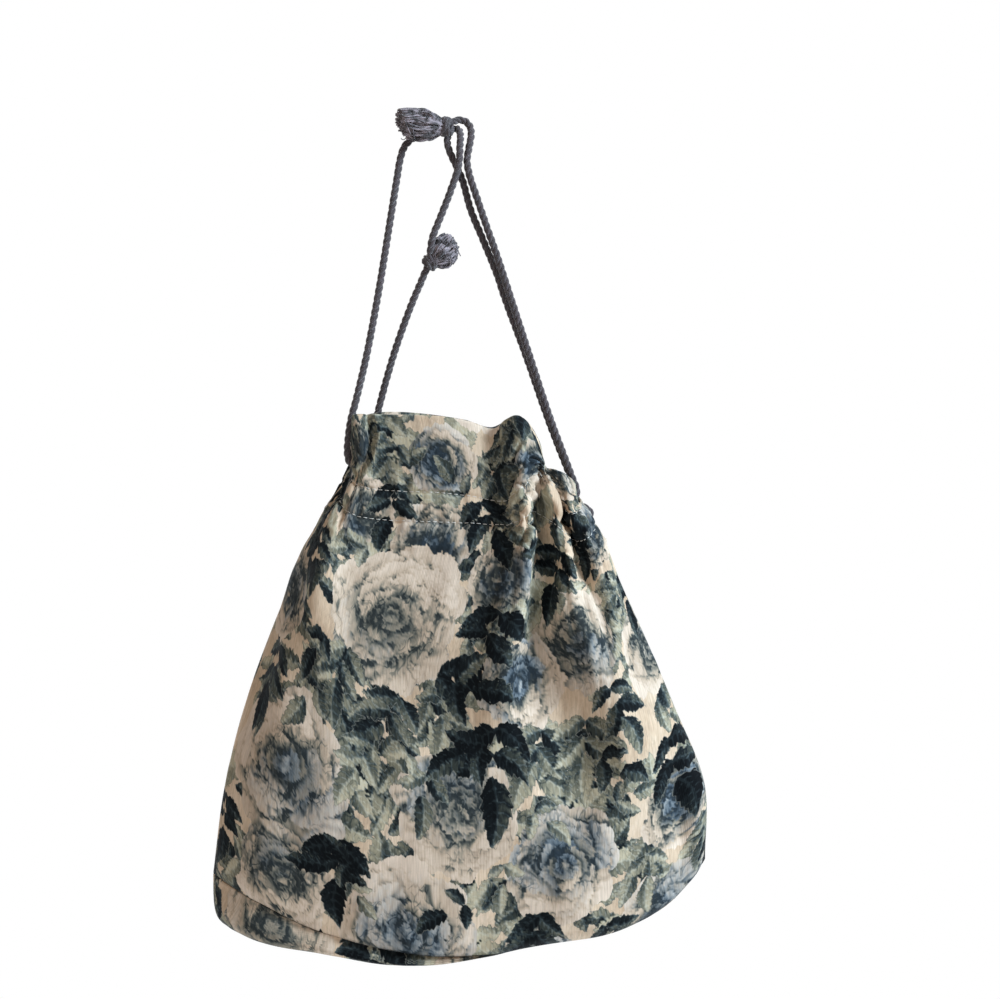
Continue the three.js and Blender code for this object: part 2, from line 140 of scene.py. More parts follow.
# Cross sections of the front panel: how far down the cloth each lies, the half widths to its left and right
# seams, and points across it as (place across, height over the middle plane, place along the cloth)
FRONT_SECTIONS = [
    (0, 46.5, 46, [
        (-1, 0.4, 0), (-1.02, 5, 24), (-1, 9.5, 44), (-0.88, 9.5, 58), (-0.78, 8.2, 67), (-0.55, 9.8, 79),
        (-0.22, 11, 95), (0.11, 10.5, 110), (0.26, 8.5, 118), (0.34, 9.5, 124), (0.43, 13.5, 131),
        (0.54, 16, 139), (0.65, 14.5, 147), (0.75, 10, 155), (0.79, 6, 161), (0.82, 5, 167),
        (0.87, 7.5, 174), (0.93, 10, 182), (1.03, 10.5, 190), (1.09, 9, 199), (1.08, 5.5, 209),
        (1.04, 2, 220), (1, 0.4, 230),
    ]),
    (14, 44.6, 47, [
        (-1, 0.4, 0), (-1.08, 5, 23), (-1.03, 9.5, 43), (-0.91, 10.5, 57), (-0.8, 9.6, 66), (-0.56, 11, 78),
        (-0.22, 12.3, 94), (0.11, 12, 109), (0.28, 10.5, 119), (0.38, 12, 126), (0.49, 17, 134),
        (0.6, 18, 141), (0.7, 15, 148.5), (0.76, 10, 155), (0.79, 6.5, 161), (0.82, 8, 166), (0.86, 9, 171),
        (0.9, 12, 178), (0.97, 14.5, 185.5), (1.05, 13.5, 194), (1.09, 10.5, 203), (1.08, 6.5, 212),
        (1.04, 2.5, 221), (1, 0.4, 230),
    ]),
    (FIRST_STITCHING, 45.5, 49, [
        (-1, 0.4, 0), (-1.06, 5, 24), (-1.02, 9.5, 44), (-0.91, 11, 57), (-0.8, 10.5, 66), (-0.56, 12, 77),
        (-0.22, 13, 93), (0.1, 12.5, 108.5), (0.28, 11.5, 119), (0.41, 13, 128), (0.54, 18, 137.5),
        (0.64, 17, 144.5), (0.69, 11, 151), (0.73, 7.5, 156), (0.8, 13, 161.5), (0.84, 11, 166),
        (0.85, 6.5, 170.5), (0.9, 11, 177), (0.97, 15, 184.5), (1.04, 14.5, 192), (1.085, 10.5, 200),
        (1.09, 6.5, 210), (1.06, 3, 220), (1, 0.4, 230),
    ]),
    (SECOND_STITCHING, 51.3, 55, [
        (-1, 0.4, 0), (-1.03, 6, 24), (-0.99, 11.5, 42), (-0.9, 13.5, 54), (-0.77, 13, 64), (-0.5, 14, 77),
        (-0.19, 14.5, 93), (0.09, 14, 108), (0.27, 14, 119), (0.38, 16.5, 127), (0.48, 21.5, 135),
        (0.55, 20.5, 141), (0.575, 13.5, 147.5), (0.6, 8.5, 153), (0.67, 11, 158), (0.76, 17.5, 164),
        (0.83, 16.5, 170), (0.865, 9.5, 176), (0.88, 5, 180.5), (0.93, 10, 186.5), (0.99, 14.5, 193),
        (1.045, 12.5, 201), (1.06, 8, 211), (1.03, 3, 222), (1, 0.4, 230),
    ]),
    (62.7, 60.8, 62.5, [
        (-1, 0.4, 0), (-1.01, 6, 18), (-0.975, 12, 33), (-0.915, 16.5, 45), (-0.84, 17, 54), (-0.66, 16, 65),
        (-0.35, 16.5, 84), (-0.05, 17, 103), (0.2, 17.5, 119), (0.35, 20.5, 129), (0.45, 24.5, 136.5),
        (0.505, 21.5, 142), (0.515, 15, 147.5), (0.525, 8.5, 153.5), (0.59, 8.5, 159.5), (0.68, 14.5, 166.5),
        (0.76, 18, 173.5), (0.815, 12.5, 181), (0.86, 9, 187), (0.92, 14.5, 195), (0.98, 13.5, 203),
        (1.02, 9, 213), (1.01, 4, 222), (1, 0.4, 230),
    ]),
    (84.7, 69.8, 71, [
        (-1, 0.4, 0), (-1, 6, 13), (-0.96, 12, 25), (-0.905, 18, 36), (-0.83, 22.5, 47), (-0.75, 22.5, 55),
        (-0.6, 20, 68), (-0.3, 20, 89), (0, 20.5, 110), (0.18, 23, 123), (0.29, 27, 131), (0.365, 26.5, 137),
        (0.405, 21, 143), (0.42, 15, 149), (0.45, 10.5, 154.5), (0.52, 11.5, 161), (0.61, 18.5, 169),
        (0.69, 22, 176), (0.77, 16.5, 185), (0.84, 13, 194), (0.91, 14.5, 203), (0.97, 9, 214), (1, 4, 223),
        (1, 0.4, 230),
    ]),
    (112.2, 81, 81.3, [
        (-1, 0.4, 0), (-0.985, 6, 9), (-0.94, 12.5, 20), (-0.87, 19, 32), (-0.79, 25, 44), (-0.71, 26, 53.5),
        (-0.58, 24, 67), (-0.35, 23, 87), (-0.05, 23.5, 111), (0.11, 27, 124.5), (0.2, 29.5, 132),
        (0.28, 27, 139.5), (0.34, 20.5, 147.5), (0.42, 15.5, 156), (0.51, 16, 164), (0.62, 21, 173),
        (0.705, 24.5, 181), (0.78, 20.5, 190), (0.86, 15.5, 202), (0.94, 11, 214), (0.995, 6, 223),
        (1, 0.4, 230),
    ]),
    (148.9, 93.5, 94, [
        (-1, 0.4, 0), (-0.985, 6, 6), (-0.94, 13, 16), (-0.86, 20.5, 28), (-0.74, 26.5, 42), (-0.62, 28, 54),
        (-0.4, 27, 75), (-0.1, 28, 105), (0.15, 29.8, 130), (0.3, 28.5, 146), (0.44, 23, 161),
        (0.55, 21, 172), (0.66, 24, 182), (0.745, 26.5, 191), (0.83, 20, 202), (0.91, 13.5, 213),
        (0.98, 6.5, 223), (1, 0.4, 230),
    ]),
    (191, 103.5, 107.5, [
        (-1, 0.4, 0), (-0.985, 6, 5), (-0.93, 14, 14), (-0.84, 22, 26), (-0.7, 27.5, 41), (-0.48, 29.5, 64),
        (-0.2, 30, 94), (0.1, 30, 126), (0.38, 29, 157), (0.6, 26.5, 181), (0.76, 23, 200),
        (0.85, 16.5, 211), (0.885, 11, 216), (0.95, 10, 222), (0.99, 5, 227), (1, 0.4, 230),
    ]),
    (BASE_SEAM, 108.5, 107.8, [
        (-1, 0.4, 0), (-0.99, 5, 4), (-0.95, 12, 12), (-0.85, 19, 24), (-0.69, 24.5, 42), (-0.46, 27, 67),
        (-0.18, 27.5, 96), (0.1, 27.5, 127), (0.38, 27, 157), (0.61, 24.5, 182), (0.78, 19, 202),
        (0.9, 12, 216), (0.975, 5, 225.5), (1, 0.4, 230),
    ]),
]

# Heights of the front's top edge, of a line just below it and of its two rows of stitching, as
# (place along, height). They fade out at the end level.
FRONT_HEIGHTS_END = 90
FRONT_HEIGHTS = [
    (0, line_through([
        (0, -133.5), (12, -133.5), (24, -132.6), (36, -130.4), (50, -129.8), (70, -129.8), (95, -130.4),
        (110, -132.9), (119, -135.7), (124, -135.5), (130, -132.6), (138, -130.4), (145, -131.6),
        (151, -136.5), (157, -142.5), (163, -148.5), (168, -152.5), (174, -153), (182, -153.8),
        (190, -156.5), (200, -160), (210, -161.5), (220, -161), (230, -156)])),
    (14, line_through([
        (0, -137), (24, -142), (44, -142.6), (70, -142.4), (95, -143), (110, -145.2), (119, -147.5),
        (126, -146), (138, -142.5), (145, -143), (151, -146), (157, -149), (163, -153.5), (168, -157),
        (174, -158), (182, -160), (190, -163), (200, -165), (210, -166), (220, -164), (230, -159.5)])),
    (FIRST_STITCHING, line_through([
        (0, -145.5), (22, -153), (44, -158.5), (60, -161), (77, -162.4), (93, -163), (108, -164.5),
        (119, -166.2), (128, -166.2), (138, -161), (148, -156), (154, -155), (162, -159.5), (171, -165),
        (180, -171.5), (190, -172), (200, -170), (210, -167), (220, -164), (230, -160.5)])),
    (SECOND_STITCHING, line_through([
        (0, -158.5), (22, -164), (44, -170), (58, -173.5), (78, -175.5), (95, -176), (119, -177),
        (128, -177), (140, -173), (150, -171), (158, -174), (168, -179.5), (176, -182.5), (186, -184.5),
        (197, -182.5), (210, -178), (220, -176), (230, -173.5)])),
]

# The back panel has a few broad gathers at both ends of its casing
back_droop = line_through([
    (-1, 3.5), (-0.85, 1), (-0.5, 0.3), (0.05, 3.5), (0.3, 7), (0.48, 4), (0.65, 9), (0.75, 20),
    (0.82, 24.5), (0.9, 26.5), (1, 27),
])
BACK_SECTIONS = [
    (0, 46.5, 46, [
        (-1, 0.4, 0), (-0.97, 5, 20), (-0.86, 8, 36), (-0.74, 5, 50), (-0.6, 7.5, 64), (-0.4, 9, 78),
        (-0.1, 9, 96), (0.2, 8.5, 114), (0.38, 5.5, 128), (0.5, 10, 144), (0.6, 10.5, 156), (0.68, 5, 170),
        (0.78, 9, 186), (0.9, 9.5, 200), (0.98, 5, 216), (1, 0.4, 230),
    ]),
    (FIRST_STITCHING, 45.5, 49, [
        (-1, 0.4, 0), (-1, 5, 20), (-0.9, 9, 36), (-0.78, 6, 50), (-0.64, 9.5, 64), (-0.42, 11.5, 78),
        (-0.1, 12, 96), (0.2, 11, 114), (0.36, 7, 128), (0.5, 12.5, 144), (0.61, 11.5, 156), (0.69, 6, 170),
        (0.8, 11, 186), (0.93, 10, 200), (1.02, 6, 216), (1, 0.4, 230),
    ]),
    (SECOND_STITCHING, 51.3, 55, [
        (-1, 0.4, 0), (-1, 5, 18), (-0.9, 11, 35), (-0.78, 9, 50), (-0.64, 12.5, 64), (-0.42, 14, 79),
        (-0.1, 14, 98), (0.2, 13.5, 116), (0.36, 9.5, 129), (0.5, 15, 144), (0.61, 13.5, 157),
        (0.69, 8, 170), (0.8, 13, 186), (0.93, 11, 202), (1, 6, 218), (1, 0.4, 230),
    ]),
    (84.7, 69.8, 71, [
        (-1, 0.4, 0), (-0.98, 6, 10), (-0.9, 15, 26), (-0.8, 19, 40), (-0.68, 17, 54), (-0.5, 19, 70),
        (-0.25, 21, 90), (0.05, 21, 112), (0.25, 19.5, 128), (0.38, 17, 139), (0.52, 21, 152),
        (0.64, 19, 165), (0.72, 14.5, 176), (0.82, 16, 190), (0.92, 12, 208), (0.99, 6, 220), (1, 0.4, 230),
    ]),
    (148.9, 93.5, 94, [
        (-1, 0.4, 0), (-0.985, 6, 5), (-0.93, 13, 14), (-0.82, 20.5, 28), (-0.66, 25, 45), (-0.4, 27.5, 73),
        (-0.1, 28, 105), (0.2, 27, 136), (0.42, 25.5, 158), (0.58, 26, 174), (0.72, 22, 190),
        (0.84, 18, 205), (0.94, 11, 219), (0.99, 5, 226), (1, 0.4, 230),
    ]),
    (191, 103.5, 107.5, [
        (-1, 0.4, 0), (-0.985, 6, 5), (-0.93, 14, 14), (-0.84, 21, 26), (-0.7, 26, 41), (-0.48, 29, 64),
        (-0.2, 30, 94), (0.1, 30, 126), (0.38, 29, 157), (0.6, 26, 181), (0.78, 20, 202), (0.9, 12, 216),
        (0.985, 5, 226), (1, 0.4, 230),
    ]),
    (BASE_SEAM, 108.5, 107.8, FRONT_SECTIONS[-1][3]),
]


def height_at(down, across):
    """Height of a panel's cloth, from how far down it is and how far across."""
    lines = [
        (0, TOP_Z - back_droop(across)),
        (FIRST_STITCHING, TOP_Z - HEADING_HEIGHT + casing_rise(across)),
        (SECOND_STITCHING, TOP_Z - HEADING_HEIGHT - CASING_HEIGHT + casing_rise(across)),
        (BASE_SEAM, BOTTOM_Z + base_seam_rise(across)),
    ]
    height = lines[0][1]
    for (above, high), (below, low) in zip(lines, lines[1:]):
        share = np.clip((down - above) / (below - above), 0, 1)
        height = np.where(down >= above, high + (low - high) * share, height)
    return height


def front_height(along, down, across):
    """Height of the front's cloth: as stated down to its stitching, then ever more like a plain panel's."""
    places, offsets = [], []
    for level, line in FRONT_HEIGHTS:
        row = int(np.argmin(np.abs(down[:, 0] - level)))
        places.append(level)
        offsets.append(line(along) - height_at(level + 0 * along, across[row]))
    places.append(FRONT_HEIGHTS_END)
    offsets.append(0 * along)
    added = [line_through(list(zip(places, column)))(down[:, 0]) for column in np.array(offsets).T]
    return height_at(down, across) + np.stack(added, axis=1)


def panel_surface(sections, along, down):
    """Points of a panel's outside, as a grid of rows down the cloth and columns along it."""
    levels = [section[0] for section in sections]
    down_through = lambda values: line_through(list(zip(levels, values)))(down)
    between = lambda rows: np.stack([down_through(column) for column in np.array(rows).T], axis=1)
    places = between([line_through([(p[2], p[0]) for p in section[3]])(along) for section in sections])
    out = between([line_through([(p[2], p[1]) for p in section[3]])(along) for section in sections])
    half_left, half_right = (down_through([section[i] for section in sections])[:, None] for i in (1, 2))
    x = places * np.where(places < 0, half_left, half_right)
    level, across = down[:, None], np.clip(places, -1, 1)
    if sections is FRONT_SECTIONS:
        return x, out, front_height(along, level, across)
    return x, out, height_at(level, across)


def outer_normals(points, side):
    """Unit normals of a panel's grid of points, turned to its outside."""
    normals = unit(np.cross(np.gradient(points, axis=1), np.gradient(points, axis=0)))
    middle = normals[len(points) // 2, points.shape[1] // 2, 1]
    return normals if (middle > 0) == (side > 0) else -normals


def evened(vectors, reach):
    """Unit vectors of a grid or a row, averaged along each row over that many neighbours to either side."""
    padded = np.pad(vectors, [(0, 0)] * (vectors.ndim - 2) + [(reach, reach), (0, 0)], mode="edge")
    total = np.cumsum(padded, axis=-2)
    total = np.concatenate([np.zeros_like(total[..., :1, :]), total], axis=-2)
    width = 2 * reach + 1
    return unit(total[..., width:, :] - total[..., :-width, :])


# How many neighbours the normals are averaged over, for the relief, the folded top and the inside
RELIEF_REACH, TOP_REACH, INSIDE_REACH = 4, 12, 9

wrinkle_noise = Noise(11)
fine_noise = Noise(12)
hem_roll_share = line_through([(0, 0.35), (40, 0.45), (75, 0.6), (110, 1), (180, 1), (230, 0.8)])
fold_strength = line_through([
    (-2, 0.35), (12, 0.6), (33, 0.9), (41, 1.0), (50, 1.1), (62, 1.3), (85, 1.1), (125, 0.6), (170, 0.2),
    (215, 0),
])


# Valleys between the folds that the drawn cord pushes into the cloth, by their places along it
FRONT_VALLEYS = [104, 116, 126, 134, 144, 152.5, 163, 172, 183, 191.5, 203, 213, 222, 232]
BACK_VALLEYS = [-2, 9, 19, 30, 39, 51, 61, 73, 136, 148, 158, 170, 179, 191, 201, 213, 222, 232]
FOLDS_STRAIGHT_AT = 41.0  # how far down the folds lie at their stated places
FOLD_DRIFT = 0.1

# The curl at the heading's left corner: its place along and down the cloth, and the radius of its ring
CORNER_CURL = (46, 7, 16)
CURL_DOME, CURL_RING, CURL_OUTER_RING = 2.0, 1.7, 1.4

# Heights of small forms over the main folds
CASING_SWELL = 1.2
STITCH_PINCH = 0.9
STITCH_PUCKER = 0.8
FACING_STEP = 0.6
FACING_RIDGE = 0.35
BROAD_SOFTNESS, NARROW_SOFTNESS = 2.6, 1.5
CREASES = 0.5
SEAM_PUCKER = 0.7
BROAD_CRUMPLES, NARROW_CRUMPLES, CRUMPLE_VALLEYS = 1.5, 0.9, 2.1
BACK_NOISE_SHIFT = 20


def gathered_folds(along, down, side):
    """Folds below and above the casing, round on their ridges and sharp in their valleys."""
    valleys = np.array(FRONT_VALLEYS if side == FRONT else BACK_VALLEYS, float)
    place = along + (down - FOLDS_STRAIGHT_AT) * FOLD_DRIFT * wrinkle_noise(along / 24 + 5, down / 50)
    i = np.clip(np.searchsorted(valleys, place, side="right") - 1, 0, len(valleys) - 2)
    share = np.clip((place - valleys[i]) / (valleys[i + 1] - valleys[i]), 0, 1)
    fold = np.sin(np.pi * share) ** 0.8 - 0.45
    strength = fold_strength(down) * (1 if side == FRONT else 1.2 + 0.8 * smooth(10, 30, down))
    varied = 1 + 0.45 * np.sin(i * 2.3 + 1)
    if side == FRONT:
        where = smooth(108, 132, along)
    else:
        where = np.maximum(1 - smooth(58, 76, along), smooth(134, 152, along))
    return fold * strength * varied * where


def sewn_relief(along, down, shift):
    """The casing's swell, the puckers of its stitching and of the base seam, and the facing's edge."""
    wander = 0.7 * wrinkle_noise(along / 30 + shift, down * 0 + 3)
    found = CASING_SWELL * bump_at(down, CASING_MIDDLE, 4.5)
    for line in (FIRST_STITCHING, SECOND_STITCHING):
        pull = bump_at(down, line, 6.5) * fine_noise(along / 3.6 + shift, down / 16 + line)
        found = found - STITCH_PINCH * bump_at(down, line + 0.25 * wander, 0.9) + STITCH_PUCKER * pull
    below_casing = smooth(0, 12, down - SECOND_STITCHING + 6)
    found = found + FACING_STEP * (1 - smooth(-0.9, 0.9, down - FACING_EDGE - wander)) * below_casing
    uneven = 1 + fine_noise(along / 5 + shift, down * 0)
    found = found + FACING_RIDGE * bump_at(down, FACING_EDGE + wander, 1.6) * uneven
    seam_noise = fine_noise(along / 5.5 + shift, down * 0 + 13)
    return found + SEAM_PUCKER * bump_at(down, BASE_SEAM - 7, 5.0) * seam_noise


def crumples(along, down, shift):
    """Crumpled cloth round the casing's gathered ends, with sharp valleys between its bumps."""
    found = BROAD_CRUMPLES * fine_noise(along / 8 + shift + 3, down / 9)
    found = found + NARROW_CRUMPLES * fine_noise(along / 4 + shift, down / 5 + 9)
    for turn, place in ((0.5, 3), (-0.7, 17)):
        tilted = fine_noise((along + turn * down) / 10 + shift + place, (down - turn * along) / 13 + place)
        found = found - CRUMPLE_VALLEYS * bump_at(tilted, 0, 0.16)
    right_end = smooth(112, 138, along) * (1 - 0.7 * smooth(176, 188, along))
    left_end = 0.35 * (1 - smooth(40, 65, along))
    return found * (right_end + left_end) * (1 - smooth(48, 85, down)) * smooth(3, 20, down)


def corner_curl(along, down):
    """The heading's curled left corner: a dome in a hollow ring, with a low ring round that."""
    middle_along, middle_down, radius = CORNER_CURL
    away = np.hypot(along - middle_along, (down - middle_down) * 0.85)
    curl = CURL_DOME * (1 - smooth(0, radius, away)) - CURL_RING * bump_at(away, radius, 2.4)
    return (curl + CURL_OUTER_RING * bump_at(away, radius + 5, 3)) * smooth(-3, 8, along - middle_along)


def relief(along, down, side):
    """Small forms that stand over a panel's main folds."""
    shift = BACK_NOISE_SHIFT * (side == BACK)
    soft = BROAD_SOFTNESS * wrinkle_noise(along / 34 + shift, down / 46 + 7)
    soft = (soft + NARROW_SOFTNESS * wrinkle_noise(along / 15 + shift, down / 30 + 9)) * smooth(40, 90, down)
    crease = CREASES * fine_noise((along + 0.4 * down) / 9 + shift, (down - 0.3 * along) / 12 + 5)
    found = sewn_relief(along, down, shift) + soft + crease + crumples(along, down, shift)
    if side == FRONT:
        found = found + corner_curl(along, down)
    return found + gathered_folds(along, down, side)


def panel_points(sections, side):
    """The outside of a panel in the frame, and how far along and down the cloth its points lie."""
    columns = int(CLOTH_WIDTH / GRID_STEP) + 1
    rows = int(round(BASE_SEAM / GRID_STEP / 2)) * 2 + 1
    along = np.linspace(0, CLOTH_WIDTH, columns)
    down = np.linspace(0, BASE_SEAM, rows)
    x, out, z = panel_surface(sections, along, down)
    points = np.stack([x, side * out, z], axis=-1)
    normals = evened(outer_normals(points, side), RELIEF_REACH)
    a, d = np.meshgrid(along, down)
    edge = smooth(0, SEAM_FADE, a) * smooth(0, SEAM_FADE, CLOTH_WIDTH - a)
    points = points + normals * (relief(a, d, side) * edge)[..., None]
    under = np.clip((d - BASE_SEAM + HEM_ROLL) / HEM_ROLL, 0, 1)
    turned = HEM_ROLL * (1 - np.cos(under * np.pi / 2)) * hem_roll_share(a) * edge
    points[..., :2] -= unit(normals[..., :2]) * turned[..., None]
    return points, a, d


def row_at(points, down):
    """The row of a panel's grid that lies that far down the cloth."""
    return int(round(down / BASE_SEAM * (len(points) - 1)))


def folded_top(points, normals):
    """Rows of points that take the cloth's top over and in, from the inside to the outside."""
    up = evened(unit(points[0] - points[FOLD_STEPS]), TOP_REACH)
    away = evened(unit(normals[:FOLD_STEPS].mean(axis=0)), TOP_REACH)
    away = unit(away - up * (away * up).sum(axis=-1, keepdims=True))
    rows = []
    for step in range(FOLD_STEPS, 0, -1):
        turn = math.pi * step / FOLD_STEPS
        over = up * FOLD_RADIUS * math.sin(turn)
        rows.append(points[0] + over - away * FOLD_RADIUS * (1 - math.cos(turn)))
    return np.array(rows)


def thickness_at(down):
    """Cloth thickness of a panel, with two layers down to the facing's edge."""
    folded = 1 - smooth(-0.5, 0.5, down - FACING_EDGE)
    return CLOTH_THICKNESS + (FOLDED_THICKNESS - CLOTH_THICKNESS) * folded


CORD_ROOM = 2.2
LEAST_HALF_GAP = 0.25  # from a panel's inside to the middle plane


def inner_skin(outside, normals, down, side):
    """A panel's inside, at every second point of its outside. In the casing it leaves room for the cord."""
    inside = outside - evened(normals, INSIDE_REACH) * thickness_at(down)[..., None]
    inside[..., 1] -= side * CORD_ROOM * bump_at(down, CASING_MIDDLE, 4.2)
    inside[..., 1] = side * np.maximum(side * inside[..., 1], LEAST_HALF_GAP)
    return inside[::2, ::2]


def grid_faces(numbers):
    """Quads between the points of a grid, from the grid of their numbers."""
    corners = (numbers[:-1, :-1], numbers[1:, :-1], numbers[1:, 1:], numbers[:-1, 1:])
    return np.stack([corner.ravel() for corner in corners], axis=1)


def rim_faces(dense, coarse):
    """Triangles between a row of points and a row of half as many."""
    faces = []
    for i in range(len(coarse) - 1):
        a, b, c = dense[2 * i:2 * i + 3]
        faces += [(a, b, coarse[i]), (b, coarse[i + 1], coarse[i]), (b, c, coarse[i + 1])]
    return faces


def make_mesh(name, points, faces):
    """A mesh object in metres from points in millimetres and lists of faces with three or four corners."""
    mesh = bpy.data.meshes.new(name)
    groups = [np.asarray(f, int) for f in faces]
    corners = np.concatenate([g.ravel() for g in groups])
    sizes = np.concatenate([np.full(len(g), g.shape[1]) for g in groups])
    mesh.vertices.add(len(points))
    mesh.vertices.foreach_set("co", (np.asarray(points, float) * MM).ravel())
    mesh.loops.add(len(corners))
    mesh.loops.foreach_set("vertex_index", corners)
    mesh.polygons.add(len(sizes))
    mesh.polygons.foreach_set("loop_start", np.concatenate([[0], np.cumsum(sizes)[:-1]]))
    mesh.polygons.foreach_set("use_smooth", np.ones(len(sizes), bool))
    mesh.update(calc_edges=True)
    mesh.validate()
    made = bpy.data.objects.new(name, mesh)
    bpy.context.scene.collection.objects.link(made)
    return made


def outward(made):
    """Turns a closed mesh's faces outwards."""
    mesh = made.data
    mesh.calc_loop_triangles()
    points = np.zeros(len(mesh.vertices) * 3)
    corners = np.zeros(len(mesh.loop_triangles) * 3, int)
    mesh.vertices.foreach_get("co", points)
    mesh.loop_triangles.foreach_get("vertices", corners)
    a, b, c = (points.reshape(-1, 3)[corners.reshape(-1, 3)[:, i]] for i in range(3))
    if (a * np.cross(b, c)).sum() < 0:
        mesh.flip_normals()


def stand_for(made, node, slot, *materials):
    """Gives a piece its materials, and has it ride on the pouch in place of a CAD node."""
    for material in materials:
        made.data.materials.append(material)
    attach(made, "root")
    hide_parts(node)


def store(made, name, values):
    """Stores a number or a vector for every point of a mesh."""
    values = np.asarray(values, float)
    kind, key = ("FLOAT_VECTOR", "vector") if values.ndim == 2 else ("FLOAT", "value")
    made.data.attributes.new(name, kind, "POINT").data.foreach_set(key, values.ravel())


# The print: roses and leaves over one repeat of flat cloth, in millimetres
REPEAT = (240.0, 300.0)
EDGE_REACH = 3.0
THREAD_SLIP, BUNDLE_SLIP = 0.9, 0.6
SMALL_LEAF_SPACING = 15
SIDE_VEINS = 6.5
LEAF_SHADOW, LEAF_SHADOW_REACH = 0.24, 1.1
PETAL_SHADOW, PETAL_SHADOW_REACH = 0.3, 1.9

# Rings of a rose from its rim to its heart, as shares of its radius: how far out the petals' middles lie and
# their size, with how many there are
ROSE_RINGS = [
    (0.64, 0.42, 7), (0.5, 0.36, 7), (0.36, 0.29, 6), (0.22, 0.22, 5), (0.12, 0.15, 4), (0.04, 0.09, 2),
]
PETAL_FOLDS = 15

# Roses: centre along and down the cloth, radius, share of blue in their petals
ROSES = [
    (96, 20, 16, 0.9), (92, 56, 18, 0.75), (82, 90, 31, 0.0), (36, 166, 31, 0.45), (116, 170, 29, 0.3),
    (92, 222, 33, 0.6), (176, 100, 23, 0.35), (146, 118, 22, 0.7), (160, 196, 25, 0.6), (40, 214, 22, 0.15),
    (126, 72, 15, 0.5), (60, 44, 15, 0.3), (205, 50, 20, 0.5), (222, 118, 20, 0.3), (214, 186, 18, 0.6),
    (204, 232, 22, 0.5), (148, 240, 20, 0.7), (18, 98, 20, 0.4), (20, 30, 20, 0.6), (50, 13, 10, 0.3),
    (150, 26, 16, 0.6), (178, 8, 17, 0.5), (226, 6, 16, 0.4), (8, 252, 20, 0.6), (60, 270, 22, 0.4),
    (118, 280, 23, 0.7), (176, 276, 22, 0.3), (226, 272, 20, 0.8),
]

# Rose leaves of several leaflets: the stem's foot, its direction in degrees and its length, then the
# leaflets' length and darkness
DARK_SPRAYS = [
    (74, 30, 95, 18, 15, 1.0), (112, 36, 60, 18, 19, 0.95), (130, 84, 110, 22, 20, 1.0),
    (104, 112, 20, 20, 20, 0.9), (132, 132, 95, 26, 26, 1.0), (128, 140, 150, 12, 20, 0.95),
    (188, 122, 75, 18, 18, 0.8), (62, 186, 85, 20, 20, 1.0), (70, 196, 160, 14, 17, 0.9),
    (150, 214, 100, 18, 19, 0.95), (22, 118, 100, 22, 20, 0.9), (216, 154, 85, 24, 20, 0.95),
    (30, 36, 95, 16, 15, 1.0), (26, 66, 70, 14, 15, 0.95), (66, 238, 120, 16, 17, 0.95),
    (178, 224, 60, 18, 17, 0.9), (186, 32, 90, 20, 20, 1.0), (168, 56, 100, 20, 18, 0.9),
    (34, 60, 75, 18, 17, 0.9), (226, 78, 110, 16, 17, 0.95), (8, 190, 90, 18, 17, 1.0),
    (98, 256, 60, 18, 18, 0.9), (200, 250, 110, 18, 18, 1.0), (28, 282, 80, 18, 18, 0.95),
    (142, 290, 60, 16, 17, 0.9), (236, 214, 100, 16, 18, 0.95), (120, 206, 150, 12, 15, 0.9),
    (178, 152, 40, 14, 16, 0.9), (54, 104, 120, 12, 15, 0.85),
]
SLATE_SPRAYS = [
    (100, 42, 200, 14, 16, 0.55), (60, 66, 140, 16, 16, 0.4), (118, 100, 330, 18, 17, 0.5),
    (150, 142, 85, 26, 25, 0.62), (168, 140, 70, 26, 24, 0.55), (140, 98, 250, 14, 15, 0.4),
    (54, 126, 190, 16, 16, 0.35), (12, 140, 60, 18, 17, 0.5), (86, 150, 100, 18, 16, 0.3),
    (64, 160, 300, 14, 15, 0.5), (140, 176, 20, 16, 16, 0.45), (128, 196, 70, 16, 15, 0.3),
    (60, 208, 30, 14, 14, 0.45), (16, 222, 150, 18, 17, 0.4), (176, 180, 320, 18, 17, 0.5),
    (192, 204, 60, 20, 18, 0.45), (120, 240, 340, 16, 16, 0.5), (166, 246, 50, 16, 16, 0.4),
    (220, 204, 80, 18, 17, 0.35), (196, 76, 60, 20, 18, 0.55), (210, 86, 130, 16, 17, 0.4),
    (160, 80, 100, 20, 18, 0.35), (144, 50, 70, 16, 16, 0.45), (80, 4, 160, 14, 15, 0.4),
    (120, 6, 20, 14, 15, 0.5), (38, 8, 90, 16, 16, 0.45), (206, 18, 200, 16, 16, 0.4),
    (90, 262, 190, 16, 16, 0.5), (58, 112, 80, 26, 23, 0.5), (84, 128, 100, 26, 23, 0.6),
    (102, 122, 70, 20, 20, 0.55), (70, 150, 100, 24, 21, 0.46), (94, 158, 80, 18, 20, 0.62),
    (46, 132, 110, 20, 20, 0.55), (30, 2, 60, 16, 18, 0.5), (66, 2, 80, 18, 19, 0.55),
    (62, 34, 300, 14, 17, 0.45), (70, 18, 100, 14, 16, 0.5), (124, 24, 80, 18, 18, 0.55),
    (116, 50, 20, 14, 16, 0.35), (116, 14, 60, 20, 19, 0.58), (134, 2, 100, 18, 18, 0.5),
    (14, 40, 70, 16, 17, 0.5), (38, 240, 70, 16, 16, 0.5), (228, 240, 60, 16, 16, 0.5),
    (150, 268, 100, 16, 16, 0.45), (4, 64, 100, 16, 16, 0.4),
]


def wrapped(delta, size):
    """The shortest way across a repeat."""
    return (delta + size / 2) % size - size / 2


